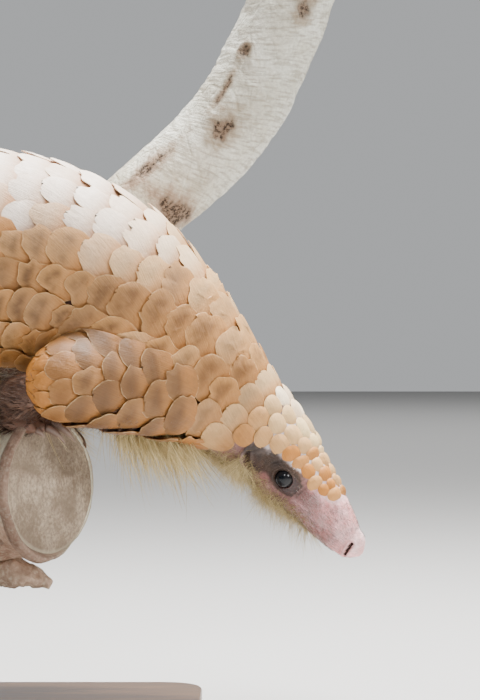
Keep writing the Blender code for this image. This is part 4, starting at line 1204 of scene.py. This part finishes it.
def coat_of_hair(skin):
    """Coats, each with where, count, seed, lengths and width in mm, stand, sag, colour, segments and flow."""
    cream = hair_material("hair_cream", (0.44, 0.31, 0.12), (0.86, 0.71, 0.38))
    brown = hair_material("hair_brown", (0.055, 0.028, 0.02), (0.20, 0.12, 0.085))
    grey = hair_material("hair_grey", (0.34, 0.23, 0.16), (0.85, 0.68, 0.52))
    white = hair_material("hair_white", (0.55, 0.46, 0.38), (0.90, 0.85, 0.80))
    ground = Ground(skin)
    hanging = (0.9, 0, -2.4)
    return [fur("hair_" + name, ground, *row) for name, *row in (
        ("throat", throat_weight, 3200, 3, (12, 22), 0.34, 0.5, 0.35, cream, 5, hanging, (0.15, 0, 0)),
        ("tuft_1", tuft_weight, 4000, 10, (17, 27), 0.66, 0.5, 0.6, cream, 5, hanging, (0.3, 0, 0)),
        ("tuft_2", tuft_weight, 3600, 13, (22, 35), 0.54, 0.5, 0.6, cream, 5, hanging, (0.42, 0, 0)),
        ("belly", belly_weight, 5000, 4, (10, 19), 0.58, 0.5, 0.6, grey, 3),
        ("legs", limb_weight, 7500, 5, (5, 11), 0.44, 0.35, 0.35, brown, 3),
        ("cheek_1", cheek_weight, 5000, 6, (6, 13), 0.18, 0.5, 0.5, cream, 4, (0, 0, -0.9)),
        ("cheek_2", cheek_weight, 3200, 12, (11, 20), 0.20, 0.5, 0.7, cream, 5, (0, 0, -1.4)),
        ("face", face_weight, 5500, 7, (1.8, 3.8), 0.08, 0.22, 0.1, brown, 3),
        ("snout", snout_weight, 3200, 8, (1.6, 3.6), 0.06, 0.3, 0.1, white, 3),
        ("crown", crown_weight, 300, 9, (3.5, 6.5), 0.09, 0.9, 0.2, white, 4),
    )]


def eyes(material):
    """Two balls with rings of points round the pupil, which lies furthest out."""
    made = []
    polar = np.linspace(0, math.pi, 42)[1:-1][:, None]
    turn = around(48, 0)[None]
    ball = [np.sin(polar) * np.cos(turn), np.sin(polar) * np.sin(turn), np.cos(polar) * np.ones_like(turn)]
    ball = np.stack(ball, axis=-1) * np.array([EYE_RADIUS * 0.985, EYE_RADIUS * 0.985, EYE_RADIUS])
    for side, node in ((1, "eye_right"), (-1, "eye_left")):
        surface, outward = BODY.surface(EYE_PLACE[0] * MM, side * math.radians(EYE_PLACE[1]))
        first = unit(np.cross(outward, UP))
        centre = surface - outward * EYE_SUNK
        points, faces = capped(centre + ball @ np.array([first, np.cross(outward, first), outward]))
        points[-2:] = centre + outward * EYE_RADIUS, centre - outward * EYE_RADIUS
        obj = mesh_object(node + "_ball", points, faces, material)
        away = points - centre
        set_values(obj, ring=np.linalg.norm(away - dot(away, outward) * outward, axis=1) / EYE_RADIUS)
        made.append(declared(obj, "eye", node))
    return made


def claws(material):
    made = []
    for leg in LEGS:
        for n, line in enumerate(leg.claw_rails(), 1):
            node = f"{leg.name}_claw_{n}"
            obj = mesh_object(node + "_horn", *tube(line, 26, 18, 0.0, 1.0 * MM), material)
            set_values(obj, along=line.locate(mesh_points(obj), 60)[0] / line.length)
            made.append(declared(obj, "claw_horn", node))
    return made


# The branch's marks: mm along it, turn, length and width in mm, and how far it stands up as a knot.
BRANCH_MARKS = ((392, -112, 7, 5, 1.0), (354, -61, 5, 4, 1.0), (306, -88, 10, 6.5, 0.3), (325, -62, 12, 2, 0),
                (262, -57, 16, 3.5, 0.1), (251, -128, 9, 13, 0.1), (415, -70, 8, 3, 0.2), (170, 60, 8, 6, 1),
                (300, 70, 9, 6, 0.8), (420, 110, 8, 6, 1.0), (100, -60, 10, 7, 0.6))


def branch_mesh(material):
    """The branch: smooth bark with small knots, wide at the fork and sawn at its top."""
    s, turn = np.meshgrid(np.linspace(0, BRANCH.length, 260), around(112), indexing="ij")
    plain, _ = BRANCH.surface(s, turn)
    place, total = s / MM, BRANCH.length / MM
    relief = rough(plain, (1.5, 34, 31), (0.5, 9, 32), (0.30, 3.2, 33)) + 9 * np.exp(-place / 26)
    rings = np.sin(place * 0.9 + 3 * noise_at(plain, 20, 37)) * smooth(noise_at(plain, 14, 38), 0, 0.6)
    relief += 0.25 * rings
    ragged = rough(plain, (0.55, 5, 34), (0.3, 2, 35))
    knot, halo = np.zeros(relief.shape), np.zeros(relief.shape)
    for along, angle, length, width, stands in BRANCH_MARKS:
        y = ((turn - math.radians(angle) + math.pi) % (2 * math.pi) - math.pi) * 26
        out = np.hypot((place - along) / length, y / width)
        relief += stands * (1.3 * hill(out - 1.1, 0.3) - 1.0 * hill(out, 0.6))
        knot = np.maximum(knot, smooth(out + ragged, 1.0, 0.6))
        halo = np.maximum(halo, smooth(out + ragged, 2.1, 0.9))
    relief -= 0.35 * knot + 1.0 * smooth(place, total - 2, total)
    points, faces = capped(BRANCH.surface(s, turn, relief * MM)[0])
    obj = mesh_object("perch_branch_bark", points, faces[:2], material)
    low = smooth(place, 300, 240) * (0.45 + 0.25 * noise_at(plain, 30, 36))
    set_values(obj, pale=1 - np.clip(low, 0, 1), knot=knot, rust=halo, ahead=(s + 0.012 * np.cos(turn)) * 620,
               face=2.6 * np.sin(turn), flank=2.6 * np.cos(turn))
    return obj


# The limb's end in profile: mm beyond the cut and girth. On its left the bark rolls over the cut as a lip.
LIP_LEFT = ((-16, 1.0), (-12, 1.02), (-8.5, 1.06), (-5.5, 1.11), (-3, 1.155), (-0.5, 1.175), (1.6, 1.165),
            (2.9, 1.13), (3.0, 1.085), (1.6, 1.05), (-0.6, 1.01), (-2.2, 0.97))
LIP_RIGHT = ((-16, 1.0), (-12, 1.0), (-8.5, 1.0), (-5.5, 1.0), (-3, 1.0), (-1.8, 1.0), (-1.0, 0.998),
             (-0.5, 0.994), (-0.2, 0.988), (-0.3, 0.98), (-1.0, 0.975), (-2.2, 0.97))
LIP_RINGS = 44
LIMB_SIDES = 168
LIMB_PITCH = 1.9 * MM
LIMB_KNOTS = ((88, 183, 7), (-40, 168, 9), (-190, 120, 8))


def limb_mesh(material):
    """The limb: rough bark whose end rolls over the old saw cut as a healed lip."""
    turn = around(LIMB_SIDES)[None]
    s = np.repeat(np.arange(0, LIMB.length - 17 * MM, LIMB_PITCH)[:, None], LIMB_SIDES, axis=1)
    steps = np.linspace(0, len(LIP_LEFT) - 1, LIP_RINGS)
    left = smooth(-np.sin(turn + 0.25), -0.45, 0.55)
    near, far = (np.array([np.interp(steps, range(len(lip)), column) for column in zip(*lip)])[..., None]
                 for lip in (LIP_LEFT, LIP_RIGHT))
    ahead, scale = far + (near - far) * left
    ahead = ahead * MM
    lip = np.append(np.zeros(len(s)), np.linspace(0, 1, LIP_RINGS))[:, None]
    girth = np.concatenate([np.ones(s.shape), scale])
    shift = np.concatenate([np.zeros(s.shape), np.maximum(ahead, 0)])
    s = np.concatenate([s, np.minimum(LIMB.length + ahead, LIMB.length)])
    plain, _ = LIMB.surface(s, turn, 0, girth)
    inner = smooth(lip, 0.55, 0.9)
    cracks = np.abs(noise_at(plain * np.array([0.45, 1, 1]), 7, 47)) + smooth(lip, 0.0, 0.2)
    relief = rough(plain, (1.8, 30, 41), (1.0, 11, 42), (0.45, 4, 43), (0.2, 1.8, 44))
    relief -= 1.1 * hill(cracks, 0.09)
    fold = hill(lip - 0.30, 0.035) * left
    relief = relief * (1 - 0.9 * inner) - 1.3 * (1 - inner) - 1.8 * fold
    points, _ = LIMB.surface(s, turn, relief * MM, girth)
    points, faces = capped(points + LIMB.frames(s)[1] * shift[..., None])
    obj = mesh_object("perch_limb_bark", points, faces[:2], material)
    x, y, z = np.moveaxis(plain / MM, -1, 0)
    knot = np.zeros(x.shape)
    for at_x, at_z, size in LIMB_KNOTS:
        out = np.hypot(x - at_x, z - at_z) / size
        knot = np.maximum(knot, smooth(out + 0.4 * noise_at(plain, 4, 46), 1.0, 0.4) * (y < 0))
    rolled = smooth(lip, 0.30, 0.36) * left
    # Painted shade in the lip's folds and in the bark's cracks, and a darker brown over the rolled lip.
    crease = np.maximum.reduce([0.6 * smooth(lip, 0.80, 0.92) * left, 0.9 * smooth(fold, 0.2, 0.7),
                                0.8 * hill(cracks, 0.07) * (1 - inner), 0.52 * rolled])
    rust = smooth(noise_at(plain, 40, 48) - 1.2 * (z - 128) / 40, 0.2, 0.9)
    set_values(obj, knot=knot, crease=crease, rust=np.maximum(rust, rolled))
    return obj


# A torn flap of bark under the stub: x, y, z, half width, height and depth.
FLAP_ROWS = ((56, -6, 96, 17, 10, 9), (80, -12, 93.5, 17, 9, 9), (98, -17, 92, 14, 8, 7.5),
             (110, -20, 89, 9, 5, 4.5), (118, -22, 86, 3, 2, 2))


def bark_flap(material):
    line = rail(FLAP_ROWS)
    s, turn = np.linspace(0, line.length, 90)[:, None], around(72)[None]
    plain, _ = line.surface(s, turn)
    torn = smooth(s, 0.3 * line.length, 0.9 * line.length)
    relief = (0.6 + 0.8 * torn) * noise_at(plain, 6, 61) + 0.8 * noise_at(plain, 2.5, 62)
    relief += 2.2 * torn * noise_at(plain * np.array([0.4, 1, 1]), 5, 63)
    points, faces = capped(line.surface(s, turn, relief * MM)[0])
    obj = mesh_object("perch_bark_flap", points, faces, material)
    set_values(obj, rust=np.full(len(points), 0.85))
    return obj


def sawn_face(name, edge, outward, material, dome):
    """A sawn end from the ring of points round it, domed by some millimetres."""
    sides = len(edge)
    centre = edge.mean(axis=0)
    shares = np.linspace(1.02, 0.04, 34)[:, None, None]
    grid = centre + (edge - centre)[None] * shares
    rise = dome * (1 - shares[..., 0] ** 2) + rough(grid, (0.5, 12, 51), (0.28, 2.5, 52), (0.15, 1.2, 53))
    grid = grid + outward * (rise * MM)[..., None]
    points = np.concatenate([grid.reshape(-1, 3), grid[-1].mean(axis=0)[None]])
    last = (len(grid) - 1) * sides
    faces = [ring_faces(len(grid), sides), fan(sides, last, len(points) - 1)]
    obj = mesh_object(name, points, faces, material)
    round_it = np.tile(np.arange(sides) / sides, len(grid))
    set_values(obj, ring=np.repeat(shares[:, 0, 0], sides), round_it=round_it)
    return obj


def perch():
    bark, sawn = bark_material(), sawn_material()
    ahead, back, up = (line.frames(s)[1] for line, s in
                       ((LIMB, LIMB.length), (LIMB, 0.0), (BRANCH, BRANCH.length)))
    cut = LIMB.surface(LIMB.length, around(120), 0.0, 0.985)[0] - ahead * 0.6 * MM
    tail_ring, top_ring = (line.surface(s, around(96), -1.0 * MM)[0] for line, s in
                           ((LIMB, 0.0), (BRANCH, BRANCH.length)))
    return [declared(limb_mesh(bark), "bark", "perch_limb"),
            declared(sawn_face("perch_stub_face", cut, ahead, sawn, 1.2), "bark"),
            declared(sawn_face("perch_rear_face", tail_ring, -back, sawn, 0.4), "bark"),
            declared(branch_mesh(bark), "bark", "perch_branch_lower", "perch_branch_upper"),
            declared(sawn_face("perch_branch_face", top_ring, up, sawn, 0.4), "bark"),
            declared(bark_flap(bark), "bark")]


def turned(name, rings, material, slot, node):
    """A piece of the stand from rings of points, with crisp edges."""
    obj = mesh_object(name, *capped(np.array(rings)), material)
    obj.data.set_sharp_from_angle(angle=STAND_CREASE)
    return declared(obj, slot, node)


def stand():
    """The base board with a rounded upper edge, and the two rods with their flanges."""
    length, depth, thick = BASE_SIZE
    profile = [(0, 0.0), (0, thick - BASE_EDGE)]
    profile += [(BASE_EDGE * (1 - math.cos(a)), thick - BASE_EDGE * (1 - math.sin(a)))
                for a in np.linspace(0.2, math.pi / 2, 7)]
    x, y = length / 2 - BASE_CORNER, depth / 2 - BASE_CORNER
    quarters = ((x, y, 0), (-x, y, 90), (-x, -y, 180), (x, -y, 270))
    corners = [(cx, cy, math.radians(first + 90 * step / 14))
               for cx, cy, first in quarters for step in range(15)]
    rings = [[(x + (BASE_CORNER - inset) * math.cos(a), y + (BASE_CORNER - inset) * math.sin(a), z)
              for x, y, a in corners] for inset, z in profile]
    made = [turned("base_board", rings, varnished_material(), "base_wood", "stand_base")]
    steel = steel_material()
    foot = thick + 0.1 * MM
    radius, height = ROD_FLANGE
    profile = ((radius - 0.4 * MM, foot), (radius, foot + 0.4 * MM), (radius, foot + height * 0.6),
               (radius - 0.5 * MM, foot + height * 0.85), (radius - 1.5 * MM, foot + height),
               (ROD_RADIUS + 1.2 * MM, foot + height), (ROD_RADIUS + 0.3 * MM, foot + height + 0.4 * MM),
               (ROD_RADIUS, foot + height + 1.4 * MM), (ROD_RADIUS, LIMB_AXIS[1] - ROD_TOP_DROP))
    for n, (x, y) in enumerate(ROD_PLACES, 1):
        rings = [[(x + r * math.cos(a), y + r * math.sin(a), z) for a in around(64, 0)] for r, z in profile]
        made.append(turned(f"stand_rod_{n}_steel", rings, steel, "stand_steel", f"stand_rod_{n}"))
    return made


FLOOR_SIZE = 12.0
FLOOR_DROP = 0.0002
# Lights: place, aim, width, power and colour.
LIGHTS = {
    "key": ((0.45, 0.22, 1.75), (0.12, 0, 0.22), 0.8, 140.0, (1.0, 0.985, 0.965)),
    "fill": ((0.35, -1.7, 1.7), (0.2, 0, 0.2), 0.5, 20.0, (0.98, 0.98, 1.0)),
    "front": ((1.6, -0.9, 1.1), (0.3, 0, 0.15), 0.6, 24.0, (1.0, 0.98, 0.96)),
    "wash": ((0.2, 5.0, 3.5), (0.2, 5.6, 0), 6.0, 150.0, (1.0, 1.0, 1.0)),
}


def studio():
    """A pale floor, a large soft light from above and behind, a soft fill from the camera's side."""
    corners = FLOOR_SIZE * np.array([(-1, -1, 0), (1, -1, 0), (1, 1, 0), (-1, 1, 0)])
    floor = mesh_object("floor", corners, [np.arange(4)[None]], floor_material())
    floor.location.z = -FLOOR_DROP
    for name, (place, aim, wide, power, colour) in LIGHTS.items():
        data = bpy.data.lights.new(name, "AREA")
        data.shape, data.size, data.energy, data.color = "DISK", wide, power, colour
        lamp = added(name, data, place)
        lamp.rotation_mode = "QUATERNION"
        lamp.rotation_quaternion = (Vector(aim) - Vector(place)).to_track_quat("-Z", "Y")
    world = bpy.data.worlds.new("studio")
    world.use_nodes = True
    tree = world.node_tree
    backdrop = tree.nodes["Background"]
    backdrop.inputs["Color"].default_value = (0.86, 0.88, 0.90, 1.0)
    direction, parts, ramp = (tree.nodes.new("ShaderNode" + kind)
                              for kind in ("TexCoord", "SeparateXYZ", "MapRange"))
    for key, value in (("From Min", -0.2), ("From Max", 0.7), ("To Min", 0.06), ("To Max", 0.52)):
        ramp.inputs[key].default_value = value
    tree.links.new(direction.outputs["Generated"], parts.inputs["Vector"])
    tree.links.new(parts.outputs["Y"], ramp.inputs["Value"])
    tree.links.new(ramp.outputs["Result"], backdrop.inputs["Strength"])
    bpy.context.scene.world = world


def camera():
    data = bpy.data.cameras.new("camera")
    data.sensor_width = SENSOR
    data.lens = SENSOR * -CAMERA_PLACE[1] / VIEW_TALL
    data.clip_start, data.clip_end = 0.01, 100
    made = added("camera", data, CAMERA_PLACE)
    made.rotation_euler = (math.radians(90), 0, 0)
    bpy.context.scene.camera = made


def build():
    camera()
    studio()
    skin = body_skin(skin_material())
    paint_skin(skin)
    flesh = [n for n in frame["nodes"] if not n.startswith(("eye", "perch", "stand")) and "claw" not in n]
    pieces = [declared(skin, "skin", *flesh), *scale_coat(horn_material()), *coat_of_hair(skin)]
    pieces += [*eyes(eye_material()), *claws(claw_material()), *perch(), *stand()]
    for piece in pieces:
        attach(piece, "root")


build()
